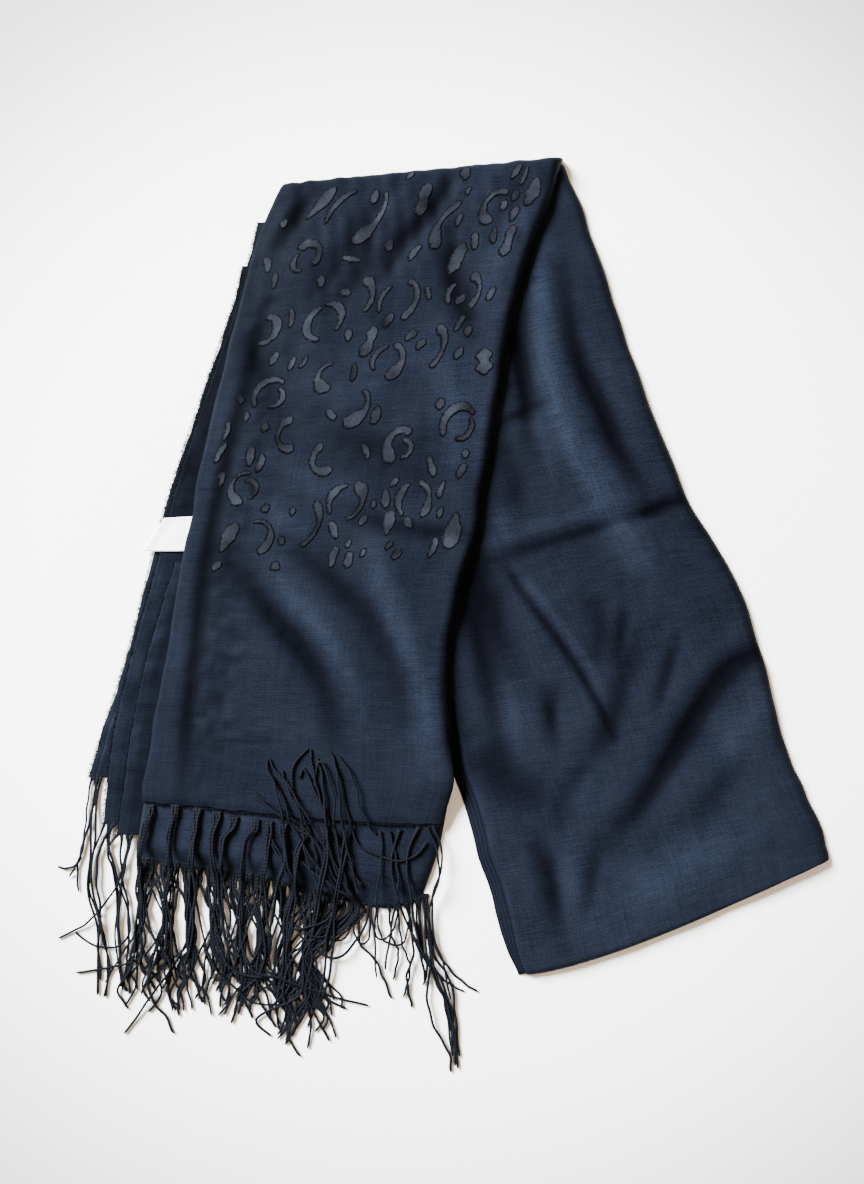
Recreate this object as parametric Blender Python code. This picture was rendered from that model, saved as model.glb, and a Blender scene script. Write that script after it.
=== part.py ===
# Rectangular scarf, folded in four lengthwise, doubled, and laid flat in an inverted V.
# The left strand lies over the right one and carries both fringed ends.
# Metres, +Z up, +Y away from the fringe; the origin is under the middle of the lying scarf.
# The tables are in millimetres.

import math
import random

import bmesh
import bpy
import numpy as np
from mathutils import Vector
from mathutils.geometry import delaunay_2d_cdt

MM = 0.001

# The middle of the lying scarf in the tables' own frame.
CENTRE_X = 10.5
CENTRE_Y = 2.0

WALL = 1.2  # cloth wall of a panel that shows
END_WALL = 1.0  # cloth wall of the thinner end layers
GAP = 0.3  # between pieces that lie on each other
CROSSING_GAP = 0.45  # between the two strands where they cross
CORE_GAP = 0.4  # between a panel and the solid inside it
RIGHT_HEIGHT = 6.0  # the right strand's eight layers
LEFT_HEIGHT = 7.6  # the left strand's eight layers
HEM_HEIGHT = 7.1  # and near the top panel's hem
NOMINAL_WIDTH = 180.0  # a strand's usual width, for columns that keep to an edge
EDGE_KEEP = 20.0  # columns this near an edge keep their distance from it

NOSE_RADIUS = 9.0  # the fold at the top, over both strands
SIDE_RADIUS = 7.0  # the rounded folds along the right sides
FOOT_RADIUS = 6.0  # the fold at the right strand's lower end

LIP_REACH = 7.0  # how far the top panel turns under along its left side
LIP_DEPTH = 2.6
LIP_DEPTH_AT_HEM = 1.5
LEFT_SIDE_DROP = 1.1  # the top panel sinks a little towards its left side
LEFT_SIDE_SPREAD = 9.0

SECOND_BED = 3.9  # underside of the second layer where it lies on the others
SECOND_WALL = 1.1
SECOND_START = 372.0  # where the second layer begins, under the top panel
HEM_DROP = 12.0  # the second layer comes down to the floor over this length
LEAST_EDGE = 0.6  # a solid core's thinnest edge

# One row for each section across the left strand's top panel, from the fold to the hem.
TOP_PANEL = (
    # (down, left_x, left_y, right_x, right_y)
    (0, -93, 260, 84, 278),
    (37, -110, 222, 72, 240),
    (74, -120, 185, 57, 197),
    (111, -129, 146, 48, 159),
    (148, -138, 108, 42, 121),
    (185, -145, 67, 35, 78),
    (222, -152, 29, 28, 36),
    (259, -157, -6, 17, -3),
    (296, -162, -42, 11, -43),
    (333, -168, -78, 12, -83),
    (370, -172, -106, 13, -114),
    (407, -174, -127, 6, -141),
)

# The second layer, from under the top panel to its own hem.
SECOND_LAYER = (
    # (down, left_x, left_y, right_x, right_y)
    (372, -172, -108, 12, -116),
    (393, -173, -124, 9, -132),
    (414, -175, -142, 4, -156),
    (435, -178, -161, -6, -184),
)

# The right strand, from inside the top fold to its lower fold.
RIGHT_STRAND = (
    # (down, left_x, left_y, right_x, right_y)
    (0, -88, 256.5, 85, 274),
    (42, -73, 208, 99, 236),
    (84, -59, 162, 111, 198),
    (126, -46, 117, 125, 152),
    (168, -32, 70, 142, 103),
    (210, -18, 22, 164, 48),
    (252, -4, -26, 187, 8),
    (294, 12, -71, 203, -42),
    (336, 22, -111, 213, -88),
    (378, 34, -150, 225, -120),
    (420, 45, -188, 235, -144),
    (462, 56, -229, 239, -162),
)

# How far a strip's lower edge bows out along the strand, and where: 1 puts it mid width.
HEM_BOWS = {
    "top": {"bow": 2.0, "skew": 1.4},
    "second": {"bow": 9.5, "skew": 4.0},
    "right": {"bow": 7.0, "skew": 0.7},
}

# Layers of the fringed ends that stick out to the left: points down each left side.
END_LAYERS = {
    "end_layer_outer": {
        "bed": 0.0,
        "side": (
            (-120, 208), (-126, 182), (-141, 134), (-161, 69),
            (-172, 25), (-186, -36), (-201, -88), (-208, -113),
        ),
    },
    "end_layer_middle": {
        "bed": 1.4,
        "side": (
            (-110, 235), (-116, 212), (-123, 184), (-138, 134), (-158, 69),
            (-169, 20), (-183, -36), (-194, -91), (-198, -141),
        ),
    },
    "end_layer_inner": {
        "bed": 2.7,
        "side": ((-158, 18), (-166, -10), (-174, -40), (-183, -91), (-189, -147)),
    },
}
END_LAYER_REACH = 11.0  # how far the end layers run in under the top panel's left side

# The right strand's inner layers stick out to the left in steps.
RIGHT_STEP_ROOM = 8.0
RIGHT_STEPS = (
    # (out past the top layer, top of the step)
    (8.4, 1.2),
    (5.4, 2.5),
    (2.6, 3.8),
)

# Soft ridges and troughs; a trough's height is negative.
RIGHT_CREASES = (
    # (start, end, half width, height)
    ((46, 12), (62, -12), 2.2, -1.0),
    ((60, -8), (113, -93), 2.2, -1.2),
    ((200, -40), (166, -60), 11.0, -1.5),
    ((166, -60), (139, -103), 11.0, -1.6),
    ((139, -103), (100, -149), 10.0, -1.2),
    ((85, 232), (76, 160), 9.0, 1.1),
    ((76, 160), (90, 104), 9.0, 1.2),
    ((90, 104), (104, 52), 8.0, 0.9),
    ((82, 194), (103, 110), 7.0, -1.0),
    ((103, 110), (130, 62), 7.0, -1.0),
    ((58, 28), (132, 55), 3.0, -0.6),
    ((128, -20), (150, -75), 12.0, 0.9),
)
LEFT_CREASES = (
    # (start, end, half width, height)
    ((-127, 56), (-134, -18), 6.0, -1.0),
    ((-134, -18), (-136, -112), 6.0, -0.9),
    ((-108, -28), (-60, -62), 8.0, -1.2),
    ((-60, -62), (-36, -84), 8.0, -1.0),
    ((-92, 8), (-56, -4), 6.0, -0.9),
    ((-12, -28), (5, -95), 9.0, 0.8),
    ((-86, 240), (-70, 205), 7.0, -0.9),
    ((-50, 228), (-62, 180), 8.0, -0.8),
    ((4, 240), (-14, 196), 7.0, -0.8),
    ((-66, 238), (-84, 196), 7.0, 0.8),
    ((-6, 96), (-4, 40), 10.0, 0.7),
)

TROUGH_WIDEN = 2.2  # a trough's width under the top face, so that coarse walls keep their thickness
RIDGE_SLIM = 0.5  # and a ridge's

# Where the left strand climbs onto the right one, in from the right strand's hidden side.
CLIMB_START = -32.0
CLIMB_LENGTH = 20.0
CLIMB_FOOT = -142.0  # below this line it lies beside the right strand
CLIMB_FOOT_FADE = 30.0
HEM_LIFT_START = 32.0  # the top panel rises onto the second layer this far before it begins
HEM_LIFT_LENGTH = 25.0

LABEL = {
    "bed": 2.8,
    "thickness": 0.8,
    "droop": 1.5,  # its lower outer corner sags this far
    "droop_past": -172.0,  # left of this line
    "droop_share": 0.45,
    "outer_top": (-165.5, 45.5),
    "outer_bottom": (-178.0, 25.0),
    "inner_top": (-143.0, 47.0),
    "inner_bottom": (-146.0, 25.0),
}

PATTERN_END = 232.0  # the raised marks stop this far down the top panel
MARK_RAISE = 0.6
MARK_FLARE = 0.35
# Two sizes of mark, thrown in turn: how many, room round each, and its shape.
MARK_KINDS = (
    {
        "count": 24, "room": 13.5, "length": (21, 31), "width": (3.2, 5.0),
        "turn": (90, 200), "stations": 6,
    },
    {
        "count": 30, "room": 9.5, "length": (10, 16), "width": (5.5, 8.0),
        "turn": (0, 35), "stations": 4,
    },
)
MARK_SEED = 41
MARK_TRIES = 900
MARK_TILT = 0.32  # spread of the marks' tilt from the strand's run
MARK_WIDTHS = (0.55, 1.25)  # a mark is this uneven along its spine
MARK_TIP = 0.32  # how far a rounded end reaches, as a share of the mark's width
MARK_CLOSER_DOWN = 0.78  # marks lie nearer each other down the strand than across it
MARK_APART_ACROSS = 1.05
MARK_CLEAR = 0.4  # between a mark's foot and anything else
FIELD_LEFT = 14.5  # marks keep inside these lines, measured across and down the panel
FIELD_RIGHT = 171.0
FIELD_TOP = 11.0

FRINGE_GAUGE = 1.2  # width of a twisted strand
FRINGE_THICK = 0.9  # and its thickness
FRINGE_RIPPLE = 0.8  # how far a strand sways to each side
RIPPLE_TURNS = 5.0
FRINGE_ROOT = 2.0  # depth of the strip that the strands grow from
ROOT_HEIGHT = 1.0
TIP_SHARE = 0.75  # a strand's tip against its gauge
STRAND_LAG = 8.0  # a strand that runs over a hem comes down this far past it
FLOOR_LINE = 0.8  # height of a lying strand's middle

# Groups of strands along the top panel's hem and the second layer's.
TOP_FRINGES = (
    # (name, first across, last across, strands, lean)
    ("fringe_top_hem_left", 2.0, 104.0, 20, -3.0),
    ("fringe_top_hem_right", 152.0, 171.0, 4, 4.0),
)
TOP_STRANDS = {"seed": 7, "length": (96, 112), "sway": 2.6, "follow": 0.55, "steps": 7}
SECOND_FRINGES = (
    # (name, first across, last across, strands, lean)
    ("fringe_second_hem_left", 2.0, 116.0, 21, 2.0),
    ("fringe_second_hem_right", 153.0, 172.0, 5, 12.0),
)
SECOND_STRANDS = {"seed": 11, "length": (72, 88), "sway": 2.4, "follow": 0.5, "steps": 6}

# The fringes of the end layers at the left: the hem, and each strand's lean to the left.
END_FRINGES = {
    "fringe_end_outer": {
        "hem": ((-207.5, -113), (-198.8, -113)), "bed": GAP, "leans": (-11, -7, -4, -2), "length": 98,
    },
    "fringe_end_middle": {
        "hem": ((-197.5, -141), (-190.0, -141)), "bed": 1.4, "leans": (-5, -3, -1), "length": 84,
    },
    "fringe_end_inner": {
        "hem": ((-188.5, -147), (-178.8, -147)), "bed": 2.7, "leans": (-3, -2, -1, 0), "length": 88,
    },
}
END_LENGTHS = (0.9, 1.08)  # the strands' lengths vary between these shares
SETTLE_START = 34.0  # a strand is down on the floor this far from its hem
SETTLE_LENGTH = 30.0

# Strands of the second layer's hem that are flipped up over the top panel.
FLIPPED_HEM = (118.5, 150.5)  # first and last across
FLIPPED_TIPS = (
    (-106, -118), (-95, -99), (-83, -110), (-74, -93),
    (-66, -116), (-58, -95), (-50, -108), (-41, -120),
)
FLIP_LOOP = (
    # (out past the strip, height of the strand's middle)
    (2.5, 1.0),
    (4.6, 2.6),
    (4.2, 5.4),
    (0.5, 7.2),
    (-7.0, 7.6),
)
FLIPPED_HEIGHT = 8.8
FLIPPED_BEND = 4.0
FLIPPED_RISE = 1.6  # how soon a flipped strand is up on the panel
FLIPPED_STEPS = 4

FLAT = math.pi / 2  # slope angle where a face lies level
NOSE_STEPS = 5  # faces round the fold at the top
SIDE_STEPS = 4  # faces round a folded side
ROW_STEP = 16.0
COLUMN_STEP = 14.0
SECOND_ROW_STEP = 12.0
HEM_ROWS = (10.0, 6.5, 3.0, 0.0)  # rows of the second layer near its hem
LIP_PROFILE = (
    # (across, share of the lip's depth)
    (LIP_REACH, 1.0),
    (1.4, 1.0),
    (0.2, 0.72),
    (0.0, 0.45),
    (0.4, 0.15),
    (1.6, 0.0),
    (4.0, 0.0),
    (LIP_REACH + 1.0, 0.0),
    (13.0, 0.0),
)
END_LAYER_SHARES = (0.0, 0.05, 0.5, 1.0)  # columns across an end layer
EDGE_SOFTEN = 0.25
LABEL_SHARES = (0.0, 0.2, 0.45, 0.7, 1.0)
BED_COLUMNS = (0.0, 60.0, 120.0)  # the right strand's flat underside needs only a few
STEP_SLOPE = 0.15
FOOT_STEP_SHRINK = 0.5  # the right strand's steps draw in near its foot
FOOT_STEP_LENGTH = 40.0


def rows_of(table):
    """The table's edge points as an array, one row for each section."""
    return np.array([row[1:] for row in table], float)


def through(before, a, b, after, t):
    """A point between a and b on the smooth curve through four points."""
    bend = (-before + 3 * a - 3 * b + after) * t ** 3
    bend += (2 * before - 5 * a + 4 * b - after) * t ** 2
    return a + 0.5 * ((b - before) * t + bend)


class Strip:
    """A stretch of cloth between two smooth side lines, measured down its length."""

    def __init__(self, table, hem):
        self.rows = rows_of(table)
        self.start = table[0][0]
        self.length = table[-1][0] - table[0][0]
        self.hem = hem

    def sides(self, down):
        """Left and right edge points at a distance down, on a smooth curve through the rows."""
        last = len(self.rows) - 1
        place = min(max((down - self.start) / self.length, 0.0), 1.0) * last
        i = min(int(place), last - 1)
        t = place - i
        before = self.rows[max(i - 1, 0)]
        after = self.rows[min(i + 2, last)]
        point = through(before, self.rows[i], self.rows[i + 1], after, t)
        return point[:2], point[2:]

    def point(self, down, across):
        """A point in plan. across runs 0 to 180 and keeps real millimetres near each side."""
        left, right = self.sides(down)
        width = float(np.hypot(*(right - left)))
        if across <= EDGE_KEEP:
            offset = across
        elif across >= NOMINAL_WIDTH - EDGE_KEEP:
            offset = width - (NOMINAL_WIDTH - across)
        else:
            middle = (across - EDGE_KEEP) / (NOMINAL_WIDTH - 2 * EDGE_KEEP)
            offset = EDGE_KEEP + middle * (width - 2 * EDGE_KEEP)
        share = offset / width
        flat = left + (right - left) * share
        reach = (down - self.start) / self.length
        arch = math.sin(math.pi * min(max(share, 0.0), 1.0) ** self.hem["skew"])
        return np.array([flat[0], flat[1] - self.hem["bow"] * arch * reach ** 8])


TOP = Strip(TOP_PANEL, HEM_BOWS["top"])
SECOND = Strip(SECOND_LAYER, HEM_BOWS["second"])
RIGHT = Strip(RIGHT_STRAND, HEM_BOWS["right"])
TOP_LENGTH = TOP_PANEL[-1][0]
SECOND_END = SECOND_LAYER[-1][0]
RIGHT_LENGTH = RIGHT_STRAND[-1][0]


def smooth(value):
    value = min(max(value, 0.0), 1.0)
    return value * value * (3 - 2 * value)


def crease_height(x, y, creases, inside=False):
    """Sum of the soft ridges and troughs at a point.

    inside is for faces under the top one: their troughs are wider and their ridges slimmer,
    so a wall keeps its thickness between coarse points.
    """
    total = 0.0
    for (x0, y0), (x1, y1), half_width, height in creases:
        if inside:
            half_width *= TROUGH_WIDEN if height < 0 else RIDGE_SLIM
        run_x, run_y = x1 - x0, y1 - y0
        length = math.hypot(run_x, run_y)
        along = ((x - x0) * run_x + (y - y0) * run_y) / length ** 2
        side = ((x - x0) * run_y - (y - y0) * run_x) / length
        end = max(0.0, -along, along - 1) * length
        spread = math.exp(-((side / half_width) ** 2) - (end / (1.5 * half_width)) ** 2)
        total += height * spread
    return total


def right_side_line(y):
    """X of the right strand's hidden left side, which is nearly straight."""
    top_left, foot_left = RIGHT.rows[0][:2], RIGHT.rows[-1][:2]
    share = (y - top_left[1]) / (foot_left[1] - top_left[1])
    return top_left[0] + share * (foot_left[0] - top_left[0])


def right_top(x, y, inside=False):
    return RIGHT_HEIGHT + crease_height(x, y, RIGHT_CREASES, inside)


def left_base(x, y):
    """What the left strand lies on: the floor, then up over the right strand."""
    inside = x - right_side_line(y)
    climb = smooth((inside - CLIMB_START) / CLIMB_LENGTH)
    climb *= smooth((y - CLIMB_FOOT) / CLIMB_FOOT_FADE)
    return climb * (max(right_top(x, y), RIGHT_HEIGHT) + CROSSING_GAP)


def near_hem(down):
    """0 along the top panel, 1 where it lies on the second layer near its hem."""
    return smooth((down - SECOND_START + HEM_LIFT_START) / HEM_LIFT_LENGTH)


def left_height(x, y, across, down, inside=False):
    """Height of the top panel's outer face over what the left strand lies on."""
    sink = LEFT_SIDE_DROP * math.exp(-((across / LEFT_SIDE_SPREAD) ** 2))
    at_hem = near_hem(down)
    full = LEFT_HEIGHT - sink * (1 - at_hem) - (LEFT_HEIGHT - HEM_HEIGHT) * at_hem
    return full + crease_height(x, y, LEFT_CREASES, inside) * (1 - at_hem)


def turned(x, y, z):
    return ((x - CENTRE_X) * MM, (y - CENTRE_Y) * MM, z * MM)


def link_same(count):
    return list(range(count))


def skin(name, outer, inner, link):
    """A closed wall from a grid of outer points and one of inner points, with its four rims."""
    mesh = bmesh.new()
    outer_verts = [[mesh.verts.new(p) for p in row] for row in outer]
    inner_verts = [[mesh.verts.new(p) for p in row] for row in inner]
    add_grid(mesh, outer_verts, None)
    add_grid(mesh, inner_verts, None)
    add_rims(mesh, outer_verts, inner_verts, link)
    return finish(name, mesh)


def add_grid(mesh, grid, leave_out):
    for r in range(len(grid) - 1):
        for c in range(len(grid[0]) - 1):
            if leave_out and leave_out(r, c):
                continue
            mesh.faces.new((grid[r][c], grid[r][c + 1], grid[r + 1][c + 1], grid[r + 1][c]))


def add_rims(mesh, outer, inner, link):
    for r in range(len(outer) - 1):
        for side in (0, -1):
            mesh.faces.new((outer[r][side], outer[r + 1][side], inner[r + 1][side], inner[r][side]))
    for row in (0, -1):
        for c in range(len(link) - 1):
            corners = [outer[row][c], outer[row][c + 1], inner[row][link[c + 1]]]
            if link[c] != link[c + 1]:
                corners.append(inner[row][link[c]])
            mesh.faces.new(corners)


def finish(name, mesh):
    bmesh.ops.recalc_face_normals(mesh, faces=mesh.faces)
    bmesh.ops.triangulate(mesh, faces=mesh.faces, quad_method="FIXED")
    data = bpy.data.meshes.new(name)
    mesh.to_mesh(data)
    mesh.free()
    data.shade_smooth()
    data.set_sharp_from_angle(angle=math.radians(50))
    thing = bpy.data.objects.new(name, data)
    bpy.context.collection.objects.link(thing)
    return thing


def cloth_material(name, colour, roughness):
    material = bpy.data.materials.new(name)
    material.use_nodes = True
    shader = material.node_tree.nodes["Principled BSDF"]
    shader.inputs["Base Color"].default_value = (*colour, 1)
    shader.inputs["Roughness"].default_value = roughness
    shader.inputs["Metallic"].default_value = 0.0
    return material


def round_steps(radius, steps, first=0.0):
    """Distance in from an edge and the surface's slope angle, through a quarter turn."""
    angles = [first + (math.pi / 2 - first) * i / steps for i in range(steps + 1)]
    return [(radius - radius * math.cos(a), a) for a in angles]


def spaced(start, stop, step):
    count = max(1, round((stop - start) / step))
    return [start + (stop - start) * i / count for i in range(count + 1)]


def left_point(down, across, nose, side, depth):
    """A point of the left strand, depth in from the top panel's outer face.

    nose and side are the slope angles at the top fold and along the right side.
    """
    x, y = TOP.point(down, across)
    height = left_height(x, y, across, down, depth >= WALL)
    inward = depth * math.cos(side)
    x, y = TOP.point(down + depth * math.cos(nose), across - inward)
    lift = (SECOND_BED + SECOND_WALL + CORE_GAP) * near_hem(down)
    z = math.sin(nose) * (left_base(x, y) + lift + (height - lift - depth) * math.sin(side))
    return x, y, z


def left_rows():
    """Rows down the left strand: (distance down, slope angle)."""
    turn = round_steps(NOSE_RADIUS, NOSE_STEPS)
    straight = spaced(NOSE_RADIUS, TOP_LENGTH, ROW_STEP)[1:]
    return turn + [(down, FLAT) for down in straight]


def left_columns():
    """Columns from inside the left side to the right side: (across, slope angle)."""
    turn = round_steps(SIDE_RADIUS, SIDE_STEPS)
    level = spaced(EDGE_KEEP, NOMINAL_WIDTH - SIDE_RADIUS, COLUMN_STEP)[:-1]
    flat = [(across, FLAT) for across in level]
    return flat + [(NOMINAL_WIDTH - inward, angle) for inward, angle in reversed(turn)]


def throw_marks():
    """Places the raised marks by a seeded rule, big ones first."""
    draw = random.Random(MARK_SEED)
    placed = []
    for kind in MARK_KINDS:
        tries = 0
        made = 0
        half_room = 0.5 * kind["room"]
        while made < kind["count"] and tries < MARK_TRIES:
            tries += 1
            down = draw.uniform(FIELD_TOP + half_room, PATTERN_END - half_room)
            across = draw.uniform(FIELD_LEFT + 0.5 * half_room, FIELD_RIGHT - 0.5 * half_room)
            tilt = draw.gauss(0, MARK_TILT)
            turn = math.radians(draw.uniform(*kind["turn"])) * draw.choice((-1, 1))
            length = draw.uniform(*kind["length"])
            width = draw.uniform(*kind["width"])
            shape = [draw.uniform(*MARK_WIDTHS) for _ in range(kind["stations"])]
            mark = {
                "room": kind["room"], "down": down, "across": across, "tilt": tilt,
                "turn": turn, "length": length, "width": width, "shape": shape,
            }
            if fits(mark, placed):
                made += 1
                placed.append(mark)
    return placed


def fits(mark, placed):
    """Whether a mark keeps clear of the ones placed, of the field's sides and of itself."""
    for other in placed:
        apart_down = (mark["down"] - other["down"]) * MARK_CLOSER_DOWN
        apart_across = (mark["across"] - other["across"]) * MARK_APART_ACROSS
        if math.hypot(apart_down, apart_across) < mark["room"] + other["room"]:
            return False
    clear = MARK_FLARE + MARK_CLEAR
    outline = mark_outline(mark, clear)
    acrosses = [point[0] for point in outline]
    downs = [point[1] for point in outline]
    if min(acrosses) < FIELD_LEFT or max(acrosses) > FIELD_RIGHT or min(downs) < FIELD_TOP:
        return False
    if crosses(outline, outline):
        return False
    return not any(crosses(outline, mark_outline(other, clear)) for other in placed)


def crosses(first, second):
    """Whether two closed outlines cross, or one crosses itself, leaving out shared corners."""
    def side(a, b, c):
        return (b[0] - a[0]) * (c[1] - a[1]) - (b[1] - a[1]) * (c[0] - a[0])

    for a, b in zip(first, first[1:] + first[:1]):
        for c, d in zip(second, second[1:] + second[:1]):
            if a in (c, d) or b in (c, d):
                continue
            if side(a, b, c) * side(a, b, d) < 0 and side(c, d, a) * side(c, d, b) < 0:
                return True
    return False


def mark_outline(mark, grow):
    """The mark's outline in (across, down), about a bent spine with uneven width."""
    count = len(mark["shape"])
    step = mark["length"] / (count - 1)
    spine = []
    across = down = 0.0
    for i in range(count):
        heading = mark["tilt"] + mark["turn"] * (i / (count - 1) - 0.5)
        spine.append((across, down, heading))
        across += step * math.sin(heading)
        down += step * math.cos(heading)
    middle_a = sum(p[0] for p in spine) / count
    middle_d = sum(p[1] for p in spine) / count
    left, right = [], []
    for (a, d, heading), share in zip(spine, mark["shape"]):
        half = 0.5 * mark["width"] * share + grow
        a += mark["across"] - middle_a
        d += mark["down"] - middle_d
        left.append((a - half * math.cos(heading), d + half * math.sin(heading)))
        right.append((a + half * math.cos(heading), d - half * math.sin(heading)))
    tips = []
    for end, sign in ((0, -1), (-1, 1)):
        a, d, heading = spine[end]
        reach = MARK_TIP * mark["width"] * mark["shape"][end] + grow
        tips.append((
            a + mark["across"] - middle_a + sign * reach * math.sin(heading),
            d + mark["down"] - middle_d + sign * reach * math.cos(heading),
        ))
    return [tips[0]] + left + [tips[1]] + right[::-1]


def near_loop(point, loop, room):
    """Whether a point lies in a closed outline, or within room of it."""
    inside = False
    nearest = 1e9
    for (x0, y0), (x1, y1) in zip(loop, loop[1:] + loop[:1]):
        if (y0 > point[1]) != (y1 > point[1]):
            if point[0] < x0 + (point[1] - y0) * (x1 - x0) / (y1 - y0):
                inside = not inside
        run = (x1 - x0, y1 - y0)
        along = (point[0] - x0) * run[0] + (point[1] - y0) * run[1]
        along = min(max(along / (run[0] ** 2 + run[1] ** 2), 0.0), 1.0)
        gap_x = point[0] - x0 - along * run[0]
        gap_y = point[1] - y0 - along * run[1]
        nearest = min(nearest, math.hypot(gap_x, gap_y))
    return inside or nearest < room


def fill_marked_field(mesh, grid, rows, columns, field):
    """Fills the patterned part of the top panel, with each mark standing up from it."""
    first_row, last_row, first_col, last_col = field
    points, verts, border = [], [], []
    loops = []
    for mark in throw_marks():
        loops.append((mark_outline(mark, MARK_FLARE), mark_outline(mark, 0.0)))
    around = [(first_row, c) for c in range(first_col, last_col + 1)]
    around += [(r, last_col) for r in range(first_row + 1, last_row + 1)]
    around += [(last_row, c) for c in range(last_col - 1, first_col - 1, -1)]
    around += [(r, first_col) for r in range(last_row - 1, first_row, -1)]
    for r, c in around:
        points.append((columns[c][0], rows[r][0]))
        verts.append(grid[r][c])
    edges = [(i, (i + 1) % len(around)) for i in range(len(around))]
    for r in range(first_row + 1, last_row):
        for c in range(first_col + 1, last_col):
            spot = (columns[c][0], rows[r][0])
            if any(near_loop(spot, loop[0], 2.0) for loop in loops):
                mesh.verts.remove(grid[r][c])
                continue
            points.append(spot)
            verts.append(grid[r][c])
    for foot, crown in loops:
        for outline, raise_by in ((foot, 0.0), (crown, MARK_RAISE)):
            start = len(points)
            for across, down in outline:
                x, y, z = left_point(down, across, FLAT, FLAT, -raise_by)
                points.append((across, down))
                verts.append(mesh.verts.new(turned(x, y, z)))
            count = len(outline)
            edges += [(start + i, start + (i + 1) % count) for i in range(count)]
    _, _, faces, sources, _, _ = delaunay_2d_cdt(points, edges, [], 0, 1e-6)
    for face in faces:
        mesh.faces.new([verts[sources[i][0]] for i in face])


def top_panel():
    """The patterned panel on top of the left strand, turned under along its left side."""
    rows = left_rows()
    lip_end = LIP_PROFILE[-1][0]
    flat_columns = left_columns()
    outer_columns = [(across, FLAT, share) for across, share in LIP_PROFILE]
    outer_columns += [(across, side, 0.0) for across, side in flat_columns]
    inner_columns = [(LIP_REACH, FLAT), (lip_end, FLAT)] + every_other(flat_columns)
    beyond_lip = nearest_link([lip_end] + [c[0] for c in flat_columns], [c[0] for c in inner_columns[1:]])
    link = [0] * (len(LIP_PROFILE) - 1) + [1 + i for i in beyond_lip]
    outer, inner = [], []
    for down, nose in rows:
        lip_depth = LIP_DEPTH + (LIP_DEPTH_AT_HEM - LIP_DEPTH) * near_hem(down)
        outer.append([
            turned(*left_point(down, across, nose, side, share * lip_depth))
            for across, side, share in outer_columns
        ])
        inner.append([
            turned(*left_point(down, across, nose, side, WALL))
            for across, side in inner_columns
        ])
    mesh = bmesh.new()
    outer_verts = [[mesh.verts.new(p) for p in row] for row in outer]
    inner_verts = [[mesh.verts.new(p) for p in row] for row in inner]
    first_row = NOSE_STEPS
    last_row = min(i for i, row in enumerate(rows) if row[0] > PATTERN_END)
    first_col = len(LIP_PROFILE) - 2
    last_col = len(outer_columns) - SIDE_STEPS - 1
    field = (first_row, last_row, first_col, last_col)
    add_grid(
        mesh, outer_verts,
        lambda r, c: first_row <= r < last_row and first_col <= c < last_col,
    )
    add_grid(mesh, inner_verts, None)
    add_rims(mesh, outer_verts, inner_verts, link)
    fill_marked_field(mesh, outer_verts, rows, outer_columns, field)
    return finish("patterned_top_panel", mesh)


def second_bed(to_hem):
    """Height of the second layer's underside, this far from its hem."""
    return GAP + (SECOND_BED - GAP) * smooth((to_hem - 1.0) / (HEM_DROP - 1.0))


def second_rows():
    level = spaced(SECOND_START, SECOND_END - HEM_DROP - 1.5, SECOND_ROW_STEP)
    return level + [SECOND_END - to_hem for to_hem in HEM_ROWS]


def core_columns():
    """The left strand's coarse columns, from beside the end layers to the right side."""
    return [(END_LAYER_REACH + 1.5, FLAT)] + every_other(left_columns())


def second_layer():
    """The layer under the top panel, which shows past its hem."""
    outer, inner = [], []
    columns = [(0.0, FLAT)] + core_columns()
    for down in second_rows():
        bed = second_bed(SECOND_END - down)
        for depth, grid in ((0.0, outer), (SECOND_WALL, inner)):
            line = []
            for across, side in columns:
                x, y = SECOND.point(down, across - depth * math.cos(side))
                z = left_base(x, y) + (bed + SECOND_WALL - depth) * math.sin(side)
                line.append(turned(x, y, z))
            grid.append(line)
    return skin("second_layer_end", outer, inner, link_same(len(columns)))


def left_core():
    """The left strand's hidden layers as one rounded solid inside the top panel."""
    inset = WALL + CORE_GAP
    top_columns = core_columns()[:-1]
    bed_columns = [(END_LAYER_REACH + 1.5, FLAT)] + left_columns()[:-1]
    link = nearest_link([c[0] for c in bed_columns], [c[0] for c in top_columns])
    tops, beds = [], []
    for down, nose in left_rows()[NOSE_STEPS - 2:]:
        if down > SECOND_START - 6.0:
            break
        line = []
        for across, side in top_columns:
            x, y, z = left_point(down, across, nose, side, inset)
            line.append(turned(x, y, max(z, left_base(x, y) + LEAST_EDGE)))
        tops.append(line)
        line = []
        for across, side in bed_columns:
            x, y, _ = left_point(down, across, nose, side, inset)
            line.append(turned(x, y, left_base(x, y)))
        beds.append(line)
    for down in [SECOND_START - 3.0] + second_rows()[:-len(HEM_ROWS)]:
        strip = SECOND if down >= SECOND_START else TOP
        line = []
        for across, side in top_columns:
            x, y = strip.point(down, across - inset * math.cos(side))
            line.append(turned(x, y, left_base(x, y) + (SECOND_BED - GAP) * math.sin(side)))
        tops.append(line)
        line = []
        for across, side in bed_columns:
            x, y = strip.point(down, across - inset * math.cos(side))
            line.append(turned(x, y, left_base(x, y)))
        beds.append(line)
    return skin("left_folded_layers", beds, tops, link)


def left_side_x(y):
    """X of the left strand's folded left side at this y."""
    strip = TOP if y > SECOND.rows[0][1] else SECOND
    low, high = strip.start, strip.start + strip.length
    for _ in range(24):
        middle = (low + high) / 2
        if strip.sides(middle)[0][1] > y:
            low = middle
        else:
            high = middle
    return float(strip.sides(low)[0][0])


def smooth_line(points, count):
    """Evenly spaced points on a smooth curve through a few points."""
    table = np.array(points, float)
    last = len(table) - 1
    out = []
    for k in range(count):
        place = last * k / (count - 1)
        i = min(int(place), last - 1)
        t = place - i
        out.append(through(table[max(i - 1, 0)], table[i], table[i + 1], table[min(i + 2, last)], t))
    return out


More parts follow.
